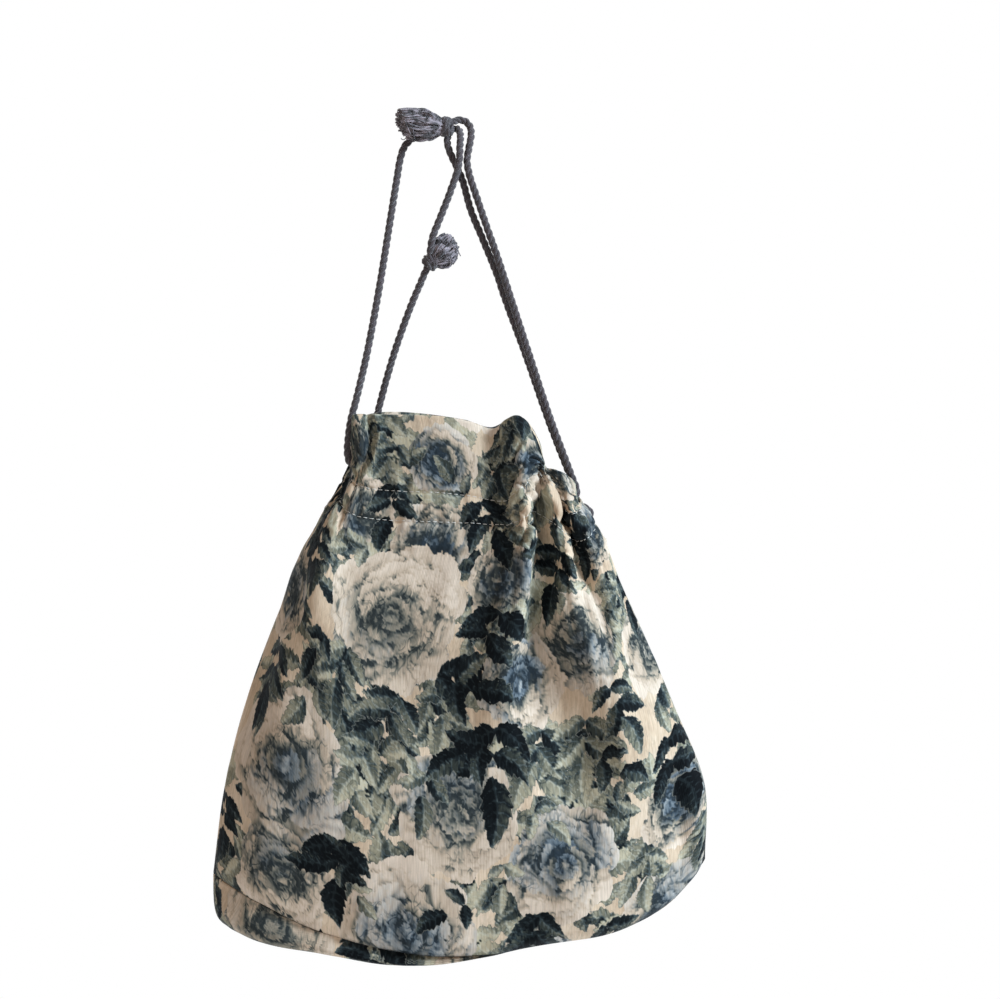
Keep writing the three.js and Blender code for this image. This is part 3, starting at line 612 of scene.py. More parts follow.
class Layer:
    """One layer of the print at points of the cloth: the distance inside its motifs, and two values of
    the motif on top."""

    def __init__(self, count):
        self.edge = np.full(count, -EDGE_REACH)
        self.tone = np.zeros(count)
        self.line = np.full(count, 0.5)

    def lay(self, found, edge, tone, line):
        """Puts a motif on top of what is there. In the open its tone goes a little past its outline."""
        before = self.edge[found]
        inside = edge > 0
        outside = ~inside & (edge > before)
        self.edge[found] = np.maximum(before, edge)
        for field, value in ((self.tone, tone), (self.line, line)):
            field[found[inside]] = value[inside]
        self.tone[found[outside]] = tone[outside]

    def vector(self):
        return np.stack([self.edge, self.tone, self.line], axis=1)


class Print:
    """The print at points of flat cloth. Slipped warp threads leave its outlines ragged along the cloth."""

    def __init__(self, u, v):
        slip = Noise(21, 256)
        self.u = u
        self.v = v + THREAD_SLIP * slip(u / 0.95, v / 40) + BUNDLE_SLIP * slip(u / 2.3 + 40, v / 26)
        self.random = np.random.default_rng(7)
        count = len(u)
        self.under, self.over, self.dark, self.petals = (Layer(count) for _ in range(4))
        self.rim = np.full(count, EDGE_REACH)
        self.small_leaves()
        for spray in SLATE_SPRAYS:
            self.spray(self.under, *spray)
        for u0, v0, radius, _ in ROSES:
            self.collar(u0, v0, radius)
        for rose in ROSES:
            self.rose(*rose)
        for u0, v0, way, stem, length, tone in SLATE_SPRAYS:
            self.spray(self.over, u0 + 7, v0 - 6, way + 25, stem * 0.7, length * 0.82, tone)
        for spray in DARK_SPRAYS:
            self.spray(self.dark, *spray)

    def near(self, centre, radius):
        du = wrapped(self.u - centre[0], REPEAT[0])
        dv = wrapped(self.v - centre[1], REPEAT[1])
        found = np.nonzero(du * du + dv * dv < radius * radius)[0]
        return found, du[found], dv[found]

    def leaf(self, layer, foot, angle, length, width, tone):
        """A serrated leaf from its foot, with a paler half and side veins that sweep towards its tip."""
        direction = np.array([np.cos(angle), np.sin(angle)])
        middle = (foot[0] + direction[0] * length / 2, foot[1] + direction[1] * length / 2)
        found, du, dv = self.near(middle, length / 2 + 4)
        along = du * direction[0] + dv * direction[1] + length / 2
        share = np.clip(along / length, 0, 1)
        bend = self.random.uniform(-0.14, 0.14)
        across = -du * direction[1] + dv * direction[0] - bend * length * np.sin(np.pi * share)
        half = np.where(across > 0, 1.0, -1.0) * self.random.choice([-1, 1])
        teeth = ((along - 0.5 * np.abs(across)) / (length / self.random.uniform(6, 8))) % 1
        outline = width / 2 * np.sin(np.pi * share ** 0.75) ** 0.85 * (0.86 + 0.3 * teeth)
        edge = np.minimum(outline - np.abs(across), np.minimum(along, length - along) + 0.4)
        side_vein = (along - 0.6 * np.abs(across)) / (length / SIDE_VEINS)
        feathered = np.cos(2 * np.pi * side_vein) * smooth(0.1, 0.5, np.abs(across) / width)
        shaded = tone + 0.15 * half + 0.34 * (0.42 - share) + 0.17 * feathered
        shaded = shaded + self.random.uniform(-0.2, 0.14)
        line = np.abs((side_vein + 0.5) % 1 - 0.5) * length / SIDE_VEINS
        line = line * (0.7 + 1.2 * np.abs(across) / width)
        line = np.minimum(line, np.minimum(np.abs(across) * 0.8, np.maximum(edge, 0) * 0.9 + 0.1))
        shadow = (edge > -2.5) & (edge <= 0) & (layer.edge[found] > 0)
        layer.tone[found[shadow]] += LEAF_SHADOW * np.exp(edge[shadow] / LEAF_SHADOW_REACH)
        layer.lay(found, edge, shaded, line)

    def spray(self, layer, u, v, way, stem, length, tone):
        """A rose leaf: a leaflet at the end of its stem and pairs of leaflets along it."""
        angle = np.radians(way)
        direction = np.array([np.cos(angle), np.sin(angle)])
        pairs = 1 if stem < 15 else 2
        for pair in range(pairs):
            foot = np.array([u, v]) + direction * stem * (pair + 0.25) / (pairs + 0.4)
            for side in (-1, 1):
                size = length * self.random.uniform(0.75, 1.0)
                turn = angle + side * self.random.uniform(0.75, 1.15)
                self.leaf(layer, foot, turn, size, size * 0.5, tone)
        tip = np.array([u, v]) + direction * stem * 0.9
        self.leaf(layer, tip, angle + self.random.uniform(-0.2, 0.2), length * 1.15, length * 0.56, tone)

    def small_leaves(self):
        """Small pale and slate leaves all over, below everything else."""
        columns, rows = (int(size / SMALL_LEAF_SPACING) for size in REPEAT)
        for row in range(rows):
            for column in range(columns):
                u = column * SMALL_LEAF_SPACING + self.random.uniform(-6, 6)
                v = row * SMALL_LEAF_SPACING + self.random.uniform(-6, 6)
                size = self.random.uniform(12, 21)
                tone = self.random.choice([0.06, 0.16, 0.28, 0.4, 0.5, 0.62])
                turn = self.random.uniform(0, 2 * np.pi)
                if self.random.uniform() < 0.74:
                    self.leaf(self.under, (u, v), turn, size, size * self.random.uniform(0.4, 0.52), tone)

    def collar(self, u, v, radius):
        """Leaves that show round a rose."""
        count = int(self.random.integers(6, 9))
        start = self.random.uniform(0, 2 * np.pi)
        for k in range(count):
            angle = start + 2 * np.pi * k / count + self.random.uniform(-0.35, 0.35)
            foot = (u + 0.66 * radius * np.cos(angle), v + 0.66 * radius * np.sin(angle))
            length = self.random.uniform(0.75, 1.15) * (11 + 0.4 * radius)
            tone = self.random.choice([0.12, 0.3, 0.5, 0.62, 0.8])
            self.leaf(self.under, foot, angle + self.random.uniform(-0.7, 0.7), length, length * 0.52, tone)

    def rose(self, u, v, radius, blue):
        """Rings of cupped petals, each light towards its rim and dark where it goes under the next ring."""
        found, du, dv = self.near((u, v), radius * 1.3)
        lit = self.random.uniform(0, 2 * np.pi)
        for ring, (offset, size, count) in enumerate(ROSE_RINGS):
            start = self.random.uniform(0, 2 * np.pi)
            depth = ring / (len(ROSE_RINGS) - 1)
            for k in self.random.permutation(count):
                angle = start + 2 * np.pi * k / count + self.random.uniform(-0.25, 0.25)
                reach = size * radius * self.random.uniform(0.78, 1.22)
                place = offset * radius * self.random.uniform(0.9, 1.1)
                cu, cv = place * np.cos(angle), place * np.sin(angle)
                tilt = angle + self.random.uniform(-0.5, 0.5)
                out = (du - cu) * np.cos(tilt) + (dv - cv) * np.sin(tilt)
                side = -(du - cu) * np.sin(tilt) + (dv - cv) * np.cos(tilt)
                turn = np.arctan2(side, out)
                notch = 1 - 0.16 * np.exp(-((turn - self.random.uniform(-0.5, 0.5)) / 0.22) ** 2)
                wavy = notch + 0.07 * np.sin(4 * turn + k) + 0.02 * np.sin(9 * turn + 2 * k + ring)
                inside = reach * wavy - np.hypot(out * 1.15, side * 0.82)
                outer = np.clip(0.5 + 0.5 * out / reach, 0, 1)
                facing = 0.2 * np.cos(angle - lit) * (1 - 0.4 * depth)
                folds = 0.28 * np.sin(PETAL_FOLDS * turn + 3 * k) * smooth(0.9, 0.35, outer)
                shade = 0.2 + 0.8 * smooth(0.08, 0.62, outer) + folds + facing
                shade = (shade + self.random.uniform(-0.2, 0.12)) * (1 - 0.52 * depth)
                tint = blue * (0.2 + 0.65 * depth) + self.random.uniform(-0.2, 0.3) * (0.4 + blue)
                tint = tint - 1.2 * facing
                shadow = (inside > -9) & (inside <= 0)
                self.petals.tone[found[shadow]] -= PETAL_SHADOW * np.exp(inside[shadow] / PETAL_SHADOW_REACH)
                self.petals.lay(found, inside, shade, np.full(len(found), tint))
                covered = inside > 0
                self.rim[found[covered]] = np.minimum(inside[covered], EDGE_REACH)


def store_print(made, u, v):
    """Stores the print's fields and the flat cloth's coordinates on a mesh."""
    fields = Print(u, v)
    store(made, "cloth", np.stack([u, v, fields.rim], axis=1))
    store(made, "under_leaf", fields.under.vector())
    store(made, "petals", fields.petals.vector())
    store(made, "over_leaf", fields.over.vector())
    store(made, "dark_leaf", fields.dark.vector())


class Shader:
    """Builds a material's nodes. Wherever a socket goes, a plain number or colour may go too."""

    def __init__(self, name):
        self.material = bpy.data.materials.new(name)
        self.material.use_nodes = True
        self.tree = self.material.node_tree
        self.surface = self.tree.nodes["Principled BSDF"]

    def surface_has(self, name, value):
        """Gives one of the surface's own inputs a value or a link."""
        self.put(self.surface.inputs[name], value)

    def put(self, socket, value):
        if isinstance(value, bpy.types.NodeSocket):
            self.tree.links.new(value, socket)
        else:
            socket.default_value = value

    def node(self, kind, inputs=(), **settings):
        made = self.tree.nodes.new(kind)
        for key, value in settings.items():
            setattr(made, key, value)
        for key, value in dict(inputs).items():
            self.put(made.inputs[key], value)
        return made

    def attribute(self, name):
        return self.node("ShaderNodeAttribute", attribute_type="GEOMETRY", attribute_name=name).outputs

    def parts(self, name):
        return self.node("ShaderNodeSeparateXYZ", {0: self.attribute(name)["Vector"]}).outputs

    def math(self, operation, a, b=0.0, c=0.0):
        return self.node("ShaderNodeMath", {0: a, 1: b, 2: c}, operation=operation).outputs[0]

    def add(self, a, b):
        return self.math("ADD", a, b)

    def times(self, a, b):
        return self.math("MULTIPLY", a, b)

    def scaled(self, vector, size):
        return self.node("ShaderNodeVectorMath", {0: vector, 1: size}, operation="MULTIPLY").outputs[0]

    def noise(self, vector, scale=1.0, detail=2.0, roughness=0.5, distortion=0.0):
        made = self.node("ShaderNodeTexNoise", {"Vector": vector, "Scale": scale, "Detail": detail,
                                                "Roughness": roughness, "Distortion": distortion})
        return self.math("SUBTRACT", made.outputs["Fac"], 0.5)

    def between(self, value, low, high, to_low=0.0, to_high=1.0, way="SMOOTHSTEP"):
        made = self.node("ShaderNodeMapRange", {0: value, 1: low, 2: high, 3: to_low, 4: to_high},
                         interpolation_type=way)
        return made.outputs[0]

    def mix(self, share, a, b, way="MIX"):
        made = self.node("ShaderNodeMix", {"Factor": share}, data_type="RGBA", blend_type=way)
        self.put(made.inputs[6], a)
        self.put(made.inputs[7], b)
        return made.outputs[2]

    def ramp(self, value, stops):
        made = self.node("ShaderNodeValToRGB", {0: value})
        points = made.color_ramp.elements
        while len(points) < len(stops):
            points.new(0.5)
        for point, (at, colour) in zip(points, stops):
            point.position = at
            point.color = colour
        return made.outputs[0]

    def bump(self, height, distance, strength):
        made = self.node("ShaderNodeBump", {"Height": height, "Distance": distance, "Strength": strength})
        return made.outputs[0]


def paint(red, green, blue):
    """A colour of the screen, from 0 to 255, as Blender's linear colour."""
    linear = lambda c: c / 12.92 if c <= 0.04045 else ((c + 0.055) / 1.055) ** 2.4
    return (*[linear(c / 255) for c in (red, green, blue)], 1.0)


def weave(shader, cloth):
    """Bump of a fine ribbed cotton, from the flat cloth's coordinates."""
    ribs = shader.node("ShaderNodeTexWave", {"Vector": shader.scaled(cloth, (1.0, 0.06, 0)), "Scale": 0.47,
                                             "Distortion": 0.6, "Detail": 1.0, "Detail Scale": 1.0})
    picks = shader.node("ShaderNodeTexWave", {"Vector": shader.scaled(cloth, (0.06, 1.0, 0)), "Scale": 0.52,
                                              "Distortion": 0.4, "Detail": 1.0}, bands_direction="Y")
    slubs = shader.noise(shader.scaled(cloth, (1.6, 0.12, 0)), 1.0, 2.0)
    height = shader.add(shader.times(ribs.outputs["Fac"], 0.6), shader.times(picks.outputs["Fac"], 0.3))
    height = shader.add(height, shader.times(slubs, 0.9))
    return height, slubs


def printed_cotton(name, fade=0.0):
    """Ribbed cotton with a warp print of roses and leaves. The fade is the paleness of its reverse side."""
    s = Shader(name)
    cloth = s.attribute("cloth")["Vector"]
    rim = s.parts("cloth")[2]
    flat = s.scaled(cloth, (1.0, 1.0, 0.0))
    streak = s.add(s.times(s.noise(s.scaled(flat, (2.4, 0.22, 0)), 1.0, 2.0, 0.6), 1.5),
                   s.times(s.noise(s.scaled(flat, (0.9, 0.5, 0)), 1.0, 2.0), 0.7))
    mottle = s.noise(s.scaled(flat, (0.6, 0.24, 0)), 1.0, 4.0, 0.62)
    drift = s.noise(s.scaled(flat, (0.045, 0.03, 0)), 1.0, 2.0)
    inside = lambda edge: s.between(s.add(edge, streak), -0.1, 0.3)

    # Curved brush strokes
    winding = s.noise(s.scaled(flat, (0.3, 0.16, 0)), 1.0, 1.3, 0.5, 0.7)
    strength = s.between(s.noise(s.scaled(flat, (0.1, 0.07, 3.0)), 1.0, 1.0), -0.12, 0.2, 0.02, 0.11)
    strokes = s.between(s.math("DIVIDE", s.math("ABSOLUTE", winding), strength), 1.15, 0.1)
    strokes = s.times(strokes, s.between(strength, 0.025, 0.065))
    wash = s.between(s.noise(s.scaled(flat, (0.2, 0.1, 0)), 1.0, 3.0, 0.6), -0.2, 0.2, -0.16, 0.16, "LINEAR")

    ground = s.ramp(s.add(s.add(s.times(mottle, 0.6), s.times(drift, 1.2)), 0.5), [
        (0.2, paint(182, 157, 132)), (0.5, paint(203, 180, 155)), (0.8, paint(216, 196, 174))])
    ground = s.mix(s.times(strokes, 0.16), ground, paint(120, 112, 100))

    def leaves(name, colour):
        edge, tone, line = s.parts(name)
        tone = s.add(s.add(s.add(tone, s.times(mottle, 0.3)), s.times(streak, 0.06)), s.times(wash, 0.5))
        tone = s.add(tone, s.times(strokes, s.between(tone, 0.8, 0.5, -0.1, 0.16)))
        green = s.ramp(tone, [
            (0.0, paint(180, 170, 146)), (0.2, paint(150, 144, 123)), (0.42, paint(108, 107, 93)),
            (0.62, paint(62, 67, 62)), (0.78, paint(23, 29, 32)), (1.0, paint(7, 11, 14))])
        vein = s.mix(s.between(tone, 0.2, 0.75), paint(188, 186, 170), paint(84, 98, 102))
        on_vein = s.times(s.between(line, 0.55, 0.12), s.between(tone, 0.6, 0.95, 0.5, 0.12))
        green = s.mix(on_vein, green, vein)
        dark_rim = s.times(s.between(edge, 0.9, 0.2), s.between(tone, 0.6, 0.38))
        green = s.mix(s.times(dark_rim, 0.4), green, paint(58, 66, 68))
        pale_rim = s.times(s.between(edge, 0.6, 0.15), s.between(tone, 0.45, 0.6))
        green = s.mix(s.times(pale_rim, 0.28), green, paint(176, 176, 166))
        return s.mix(inside(edge), colour, green)

    colour = leaves("under_leaf", ground)

    edge, shade, blue = s.parts("petals")
    shade = s.add(s.add(s.add(shade, s.times(mottle, 0.2)), s.times(streak, 0.08)), s.times(wash, 0.35))
    drawn = s.between(shade, 0.95, 0.6, -0.1, -0.26)
    shade = s.add(s.add(shade, s.times(strokes, drawn)), s.times(s.between(blue, 0.2, 0.8), 0.03))
    cream = s.ramp(shade, [(0.0, paint(44, 49, 50)), (0.2, paint(84, 86, 81)), (0.42, paint(138, 130, 116)),
                           (0.66, paint(186, 167, 147)), (1.0, paint(209, 191, 173))])
    cold = s.ramp(shade, [(0.0, paint(36, 45, 52)), (0.2, paint(70, 81, 90)), (0.42, paint(110, 119, 125)),
                          (0.64, paint(156, 158, 157)), (1.0, paint(203, 196, 186))])
    bluish = s.between(s.add(blue, s.times(mottle, 0.7)), 0.1, 0.7)
    petals = s.mix(bluish, cream, cold)
    crevice = s.between(s.add(rim, s.times(streak, 0.4)), 2.0, 0.15)
    crevice = s.times(crevice, s.between(shade, 0.8, 0.3, 0.0, 0.2))
    petals = s.mix(crevice, petals, s.mix(bluish, paint(96, 98, 94), paint(66, 77, 88)))
    colour = s.mix(inside(edge), colour, petals)

    colour = leaves("over_leaf", colour)
    colour = leaves("dark_leaf", colour)

    height, slubs = weave(s, flat)
    thin = s.between(slubs, 0.2, -0.25, 0.0, 0.4, "LINEAR")
    colour = s.mix(thin, colour, paint(150, 150, 152), "MULTIPLY")
    if fade:
        colour = s.mix(fade, colour, paint(206, 196, 184))
    s.surface_has("Base Color", colour)
    s.surface_has("Roughness", s.between(mottle, -0.3, 0.3, 0.62, 0.8))
    s.surface_has("Specular IOR Level", 0.05)
    s.surface_has("Sheen Weight", 0.02)
    s.surface_has("Sheen Roughness", 0.4)
    s.surface_has("Sheen Tint", (0.8, 0.87, 1.0, 1.0))
    s.surface_has("Normal", s.bump(height, 0.00012, 0.6))
    return s.material


cotton = printed_cotton("printed_cotton")
cotton_reverse = printed_cotton("printed_cotton_reverse", 0.45)

# How far the print's repeat is moved along and down the cloth of the back and of the base
BACK_PRINT_SHIFT, BASE_PRINT_SHIFT = (131, 97), (164, 122)


def panel(name, node, sections, side, print_shift):
    """One panel as a closed mesh: a fine outside with its folded top, and a plainer inside. Returns the
    points and normals of its outside."""
    points, along, down = panel_points(sections, side)
    normals = outer_normals(points, side)
    top = folded_top(points, normals)
    outside = np.concatenate([top, points])
    inside = inner_skin(points, normals, down, side)
    outer = np.arange(outside[..., 0].size).reshape(outside.shape[:2])
    inner = outer.size + np.arange(inside[..., 0].size).reshape(inside.shape[:2])
    outer_quads, inner_quads = grid_faces(outer), grid_faces(inner)[:, ::-1]
    turned = lambda faces: [face[::-1] for face in faces]
    body = outer[FOLD_STEPS:]
    rims = rim_faces(outer[0], inner[0]) + turned(rim_faces(outer[-1], inner[-1]))
    rims += turned(rim_faces(body[:, 0], inner[:, 0])) + rim_faces(body[:, -1], inner[:, -1])
    for end, order in ((0, -1), (-1, 1)):
        rims += [(outer[r, end], outer[r + 1, end], inner[0, end])[::order] for r in range(FOLD_STEPS)]
    made = make_mesh(name, np.concatenate([outside.reshape(-1, 3), inside.reshape(-1, 3)]),
                     [np.concatenate([outer_quads, inner_quads]), np.array(rims)])
    place_in_fold = -np.arange(FOLD_STEPS, 0, -1)[:, None] * FOLD_RADIUS * math.pi / FOLD_STEPS
    in_fold = lambda values: np.broadcast_to(values, top.shape[:2]).ravel()
    u = np.concatenate([in_fold(along[0]), along.ravel(), along[::2, ::2].ravel()])
    v = np.concatenate([in_fold(place_in_fold), down.ravel(), down[::2, ::2].ravel()])
    store_print(made, u + print_shift[0], v + print_shift[1])
    outward(made)
    stand_for(made, node, "printed_cotton", cotton, cotton_reverse)
    material_numbers = np.zeros(len(made.data.polygons), int)
    material_numbers[len(outer_quads):len(outer_quads) + len(inner_quads)] = 1
    made.data.polygons.foreach_set("material_index", material_numbers)
    return points, normals


front_points, front_normals = panel("front_cloth", "front_panel", FRONT_SECTIONS, FRONT, (0, 0))
back_points, back_normals = panel("back_cloth", "back_panel", BACK_SECTIONS, BACK, BACK_PRINT_SHIFT)

# The base drops steeply just inside its seam, and its right side is tucked in under the panels
DROP_POWER, FLATNESS = 4, 60
TUCK_IN, TUCK_UP = 1.4, 1.6
SEAM_BULGE = 2.6
BASE_SEAM_DROP = 0.6
BASE_WRINKLES = 1.1
INSIDE_SHRINK = 0.992


def base():
    """The oval base, sewn to both panels and slack below its seam."""
    rim = np.concatenate([front_points[-1], back_points[-1][::-1][1:-1]])
    steep = (1 - np.linspace(0, 0.96, 22) ** DROP_POWER) ** (1 / FLATNESS)
    rings = np.concatenate([steep, np.linspace(0.95, 0.04, 27)])
    right_end, left_end = rim[:, 0].max(), -rim[:, 0].min()
    across = lambda x: np.where(x < 0, x / left_end, x / right_end)
    along_rim = np.roll(rim[:, :2], -3, axis=0) - np.roll(rim[:, :2], 3, axis=0)
    away = unit(np.stack([along_rim[:, 1], -along_rim[:, 0]], axis=1))
    away = away * np.sign((away * rim[:, :2]).sum(axis=1))[:, None]
    tucked = smooth(-0.1, 0.35, across(rim[:, 0]))

    def layer(height):
        grid = []
        for ring in rings:
            dropped = (1 - ring**FLATNESS) ** (1 / DROP_POWER)
            bulge = SEAM_BULGE * (1 - tucked) * math.sin(math.pi * dropped**1.5)
            x, y = (rim[:, :2] * ring - away * TUCK_IN * tucked[:, None]).T
            y = y + away[:, 1] * bulge
            s = np.clip(across(x), -1, 1)
            seam = BOTTOM_Z + base_seam_rise(s) - BASE_SEAM_DROP + TUCK_UP * tucked
            slack = smooth(1, 0.9, ring) * (1 - tucked)
            wrinkles = BASE_WRINKLES * wrinkle_noise(x / 22 + 3, y / 16) * slack
            z = seam - BASE_SAG * base_sag_share(s) * dropped + height + wrinkles
            grid.append(np.stack([x, y, z], axis=1))
        return np.array(grid)

    outside, inside = layer(0), layer(CLOTH_THICKNESS)
    inside[:, :, :2] *= INSIDE_SHRINK
    rows, columns = outside.shape[:2]
    points = np.concatenate([outside.reshape(-1, 3), inside.reshape(-1, 3),
                             [outside[-1].mean(axis=0)], [inside[-1].mean(axis=0)]])
    outer = np.arange(rows * columns).reshape(rows, columns)
    outer = np.concatenate([outer, outer[:, :1]], axis=1)
    inner = outer + rows * columns
    hem = np.stack([outer[0, :-1], outer[0, 1:], inner[0, 1:], inner[0, :-1]], axis=1)
    fan = lambda ring, centre: np.stack([ring[:-1], np.full(columns, centre), ring[1:]], axis=1)
    fans = [fan(outer[-1], len(points) - 2), fan(inner[-1], len(points) - 1)[:, ::-1]]
    made = make_mesh("base_cloth", points, [
        np.concatenate([grid_faces(outer), grid_faces(inner)[:, ::-1], hem]), np.concatenate(fans)])
    steps = np.linalg.norm(np.diff(outside, axis=0), axis=2)
    reach = np.cumsum(np.concatenate([np.zeros((1, columns)), steps[::-1]]), axis=0)[::-1]
    reach = reach + np.linalg.norm(rim[:, :2], axis=1) * rings[-1]
    place = outside[..., :2]
    flat = place + away * (reach - np.linalg.norm(place, axis=-1))[..., None]
    flat = np.concatenate([np.tile(flat.reshape(-1, 2), (2, 1)), np.zeros((2, 2))])
    store_print(made, flat[:, 0] + BASE_PRINT_SHIFT[0], flat[:, 1] + BASE_PRINT_SHIFT[1])
    outward(made)
    stand_for(made, "base_panel", "printed_cotton", cotton)


base()

# Routes of the two cords outside the pouch, as the CAD has them.
# Each starts at its knot, goes to the casing's left end, and comes back from its right end to the knot.
FRONT_LEFT_RUN = [
    (-7.4, 3.6, -2.8), (-8.7, 5.6, -3.1), (-12.0, 7.0, -3.6), (-16.4, 7.0, -4.5), (-21.0, 5.6, -6.2),
    (-24.6, 4.3, -10.0), (-26.4, 3.3, -15.5), (-27.8, 2.5, -24.0), (-31.2, 0.6, -46.0), (-35.6, -1.6, -74.0),
    (-40.9, -3.6, -103.0), (-45.4, -4.7, -122.5), (-47.6, -5.0, -131.0), (-48.8, -5.0, -139.0),
    (-49.2, -4.5, -145.4), (-48.4, -3.8, -149.4), (-46.2, -3.4, -151.4),
]
FRONT_RIGHT_RUN = [
    (48.6, -3.5, -166.5), (50.9, -3.7, -164.4), (51.0, -3.7, -161.2), (49.4, -3.3, -156.8),
    (46.7, -2.8, -149.6), (39.8, -2.2, -131.0), (30.6, -1.9, -103.0), (21.6, -1.7, -75.2),
    (16.3, -1.6, -59.0), (11.9, -1.5, -46.6), (7.0, -1.2, -32.1), (4.2, -0.8, -23.5), (3.1, -0.4, -17.0),
    (4.0, 0.0, -11.0), (4.9, 1.4, -5.5), (4.4, 3.3, -1.4), (2.0, 4.4, 1.3), (-1.0, 3.7, 1.6),
    (-3.5, 1.7, 0.2),
]
BACK_LEFT_RUN = [
    (-15.0, 1.3, -64.9), (-17.4, 3.2, -70.2), (-21.6, 5.9, -79.6), (-28.5, 9.5, -98.0),
    (-33.2, 12.0, -113.0), (-36.2, 13.2, -124.0), (-38.2, 13.6, -131.5), (-41.6, 13.0, -138.6),
    (-45.4, 10.4, -143.4), (-48.0, 7.4, -146.8), (-48.4, 4.6, -150.0), (-46.2, 3.4, -151.5),
]
BACK_RIGHT_RUN = [
    (48.6, 3.5, -166.5), (50.9, 3.8, -164.4), (51.0, 4.0, -161.2), (49.2, 3.8, -156.8), (46.2, 3.3, -149.6),
    (39.0, 2.5, -131.0), (29.2, 1.9, -103.0), (19.5, 1.5, -76.6), (16.3, 1.4, -66.9), (9.7, 1.1, -50.6),
    (4.8, 1.0, -38.7), (1.0, 1.0, -25.2), (-1.4, 0.8, -19.6), (-3.8, 0.3, -14.6), (-5.3, 1.2, -10.4),
    (-5.6, 3.6, -6.6), (-4.6, 5.8, -3.2), (-2.5, 6.4, -1.6), (-0.5, 4.2, -2.8), (0.2, 0.8, -6.2),
    (0.0, -1.8, -11.0), (-0.2, -3.1, -17.0), (-1.4, -3.7, -23.0), (-3.4, -3.9, -29.0), (-5.8, -3.8, -35.5),
    (-9.4, -3.7, -44.5), (-12.1, -3.4, -51.6), (-13.2, -1.7, -58.2),
]


def distances_along(line, power=1):
    """How far along a line each of its points lies, where each step counts by its length to that power."""
    return np.concatenate([[0], np.cumsum(np.linalg.norm(np.diff(line, axis=0), axis=1) ** power)])


def values_at(at, distances, rows):
    """Points or vectors of a line, at some distances along it."""
    return np.stack([np.interp(at, distances, rows[:, k]) for k in range(3)], axis=1)


SPLINE_STEPS = 24


def smooth_route(points, step):
    """A centripetal spline through points, resampled to about that step."""
    p = np.asarray(points, float)
    p = np.concatenate([[2 * p[0] - p[1]], p, [2 * p[-1] - p[-2]]])
    knots = distances_along(p, 0.5)
    between = lambda low, high, a, b: (high - t) / (high - low) * a + (t - low) / (high - low) * b
    found = []
    for i in range(1, len(p) - 2):
        t0, t1, t2, t3 = knots[i - 1:i + 3]
        t = np.linspace(t1, t2, SPLINE_STEPS, endpoint=False)[:, None]
        a1 = between(t0, t1, p[i - 1], p[i])
        a2 = between(t1, t2, p[i], p[i + 1])
        a3 = between(t2, t3, p[i + 1], p[i + 2])
        found.append(between(t1, t2, between(t0, t2, a1, a2), between(t1, t3, a2, a3)))
    line = np.concatenate([*found, p[-2:-1]])
    distances = distances_along(line)
    return values_at(np.linspace(0, distances[-1], int(distances[-1] / step) + 1), distances, line)


def directions_across(line):
    """Two directions across a line, at each of its points, that turn as little as possible."""
    tangent = unit(np.gradient(line, axis=0))
    across = [unit(np.cross(tangent[0], [0.3, 1, 0.2]))]
    for t in tangent[1:]:
        across.append(unit(across[-1] - t * (across[-1] @ t)))
    return np.array(across), np.cross(tangent, across)


def turned_to(turn, first, second):
    """Directions at some angles from one direction towards another."""
    return first * np.cos(turn)[:, None] + second * np.sin(turn)[:, None]


def tube_mesh(line, radius, sides):
    """Points and faces of a closed tube along a line."""
    across, other = directions_across(line)
    turn = 2 * np.pi * np.arange(sides) / sides
    ring = across[:, None] * np.cos(turn)[None, :, None] + other[:, None] * np.sin(turn)[None, :, None]
    points = (line[:, None] + ring * radius).reshape(-1, 3)
    numbers = np.arange(len(points)).reshape(-1, sides)
    a, b = numbers[:-1].ravel(), np.roll(numbers[:-1], -1, axis=1).ravel()
    quads = np.stack([a, b, b + sides, a + sides], axis=1)
    last = numbers[-1, 0]
    caps = [(0, k + 1, k) for k in range(1, sides - 1)]
    caps += [(last, last + k, last + k + 1) for k in range(1, sides - 1)]
    return points, quads, np.array(caps)


def tubes(name, lines, radii, sides):
    """One mesh of closed tubes, with one radius for all or a list. It stores each point's distance along
    its tube, its share of the way round, and the tube's number."""
    points, quads, caps, strand = [], [], [], []
    count = 0
    for number, line in enumerate(lines):
        p, q, c = tube_mesh(line, radii[number] if isinstance(radii, list) else radii, sides)
        points.append(p)
        quads.append(q + count)
        caps.append(c + count)
        far_along = np.repeat(distances_along(line), sides)
        way_round = np.tile(np.arange(sides) / sides, len(line))
        strand.append(np.stack([far_along, way_round, np.full(len(p), number)], axis=1))
        count += len(p)
    made = make_mesh(name, np.concatenate(points), [np.concatenate(quads), np.concatenate(caps)])
    store(made, "strand", np.concatenate(strand))
    return made


CORD_PLIES = 3
PLY_RADIUS = 0.86
PLY_OFFSET = 0.84
CORD_PITCH = 9.5
CORD_STEP = 0.75


def plies(line):
    """Centrelines of the plies that wind round a cord's centreline."""
    directions = directions_across(line)
    turn = 2 * np.pi * distances_along(line) / CORD_PITCH
    return [line + PLY_OFFSET * turned_to(turn + 2 * np.pi * ply / CORD_PLIES, *directions)
            for ply in range(CORD_PLIES)]


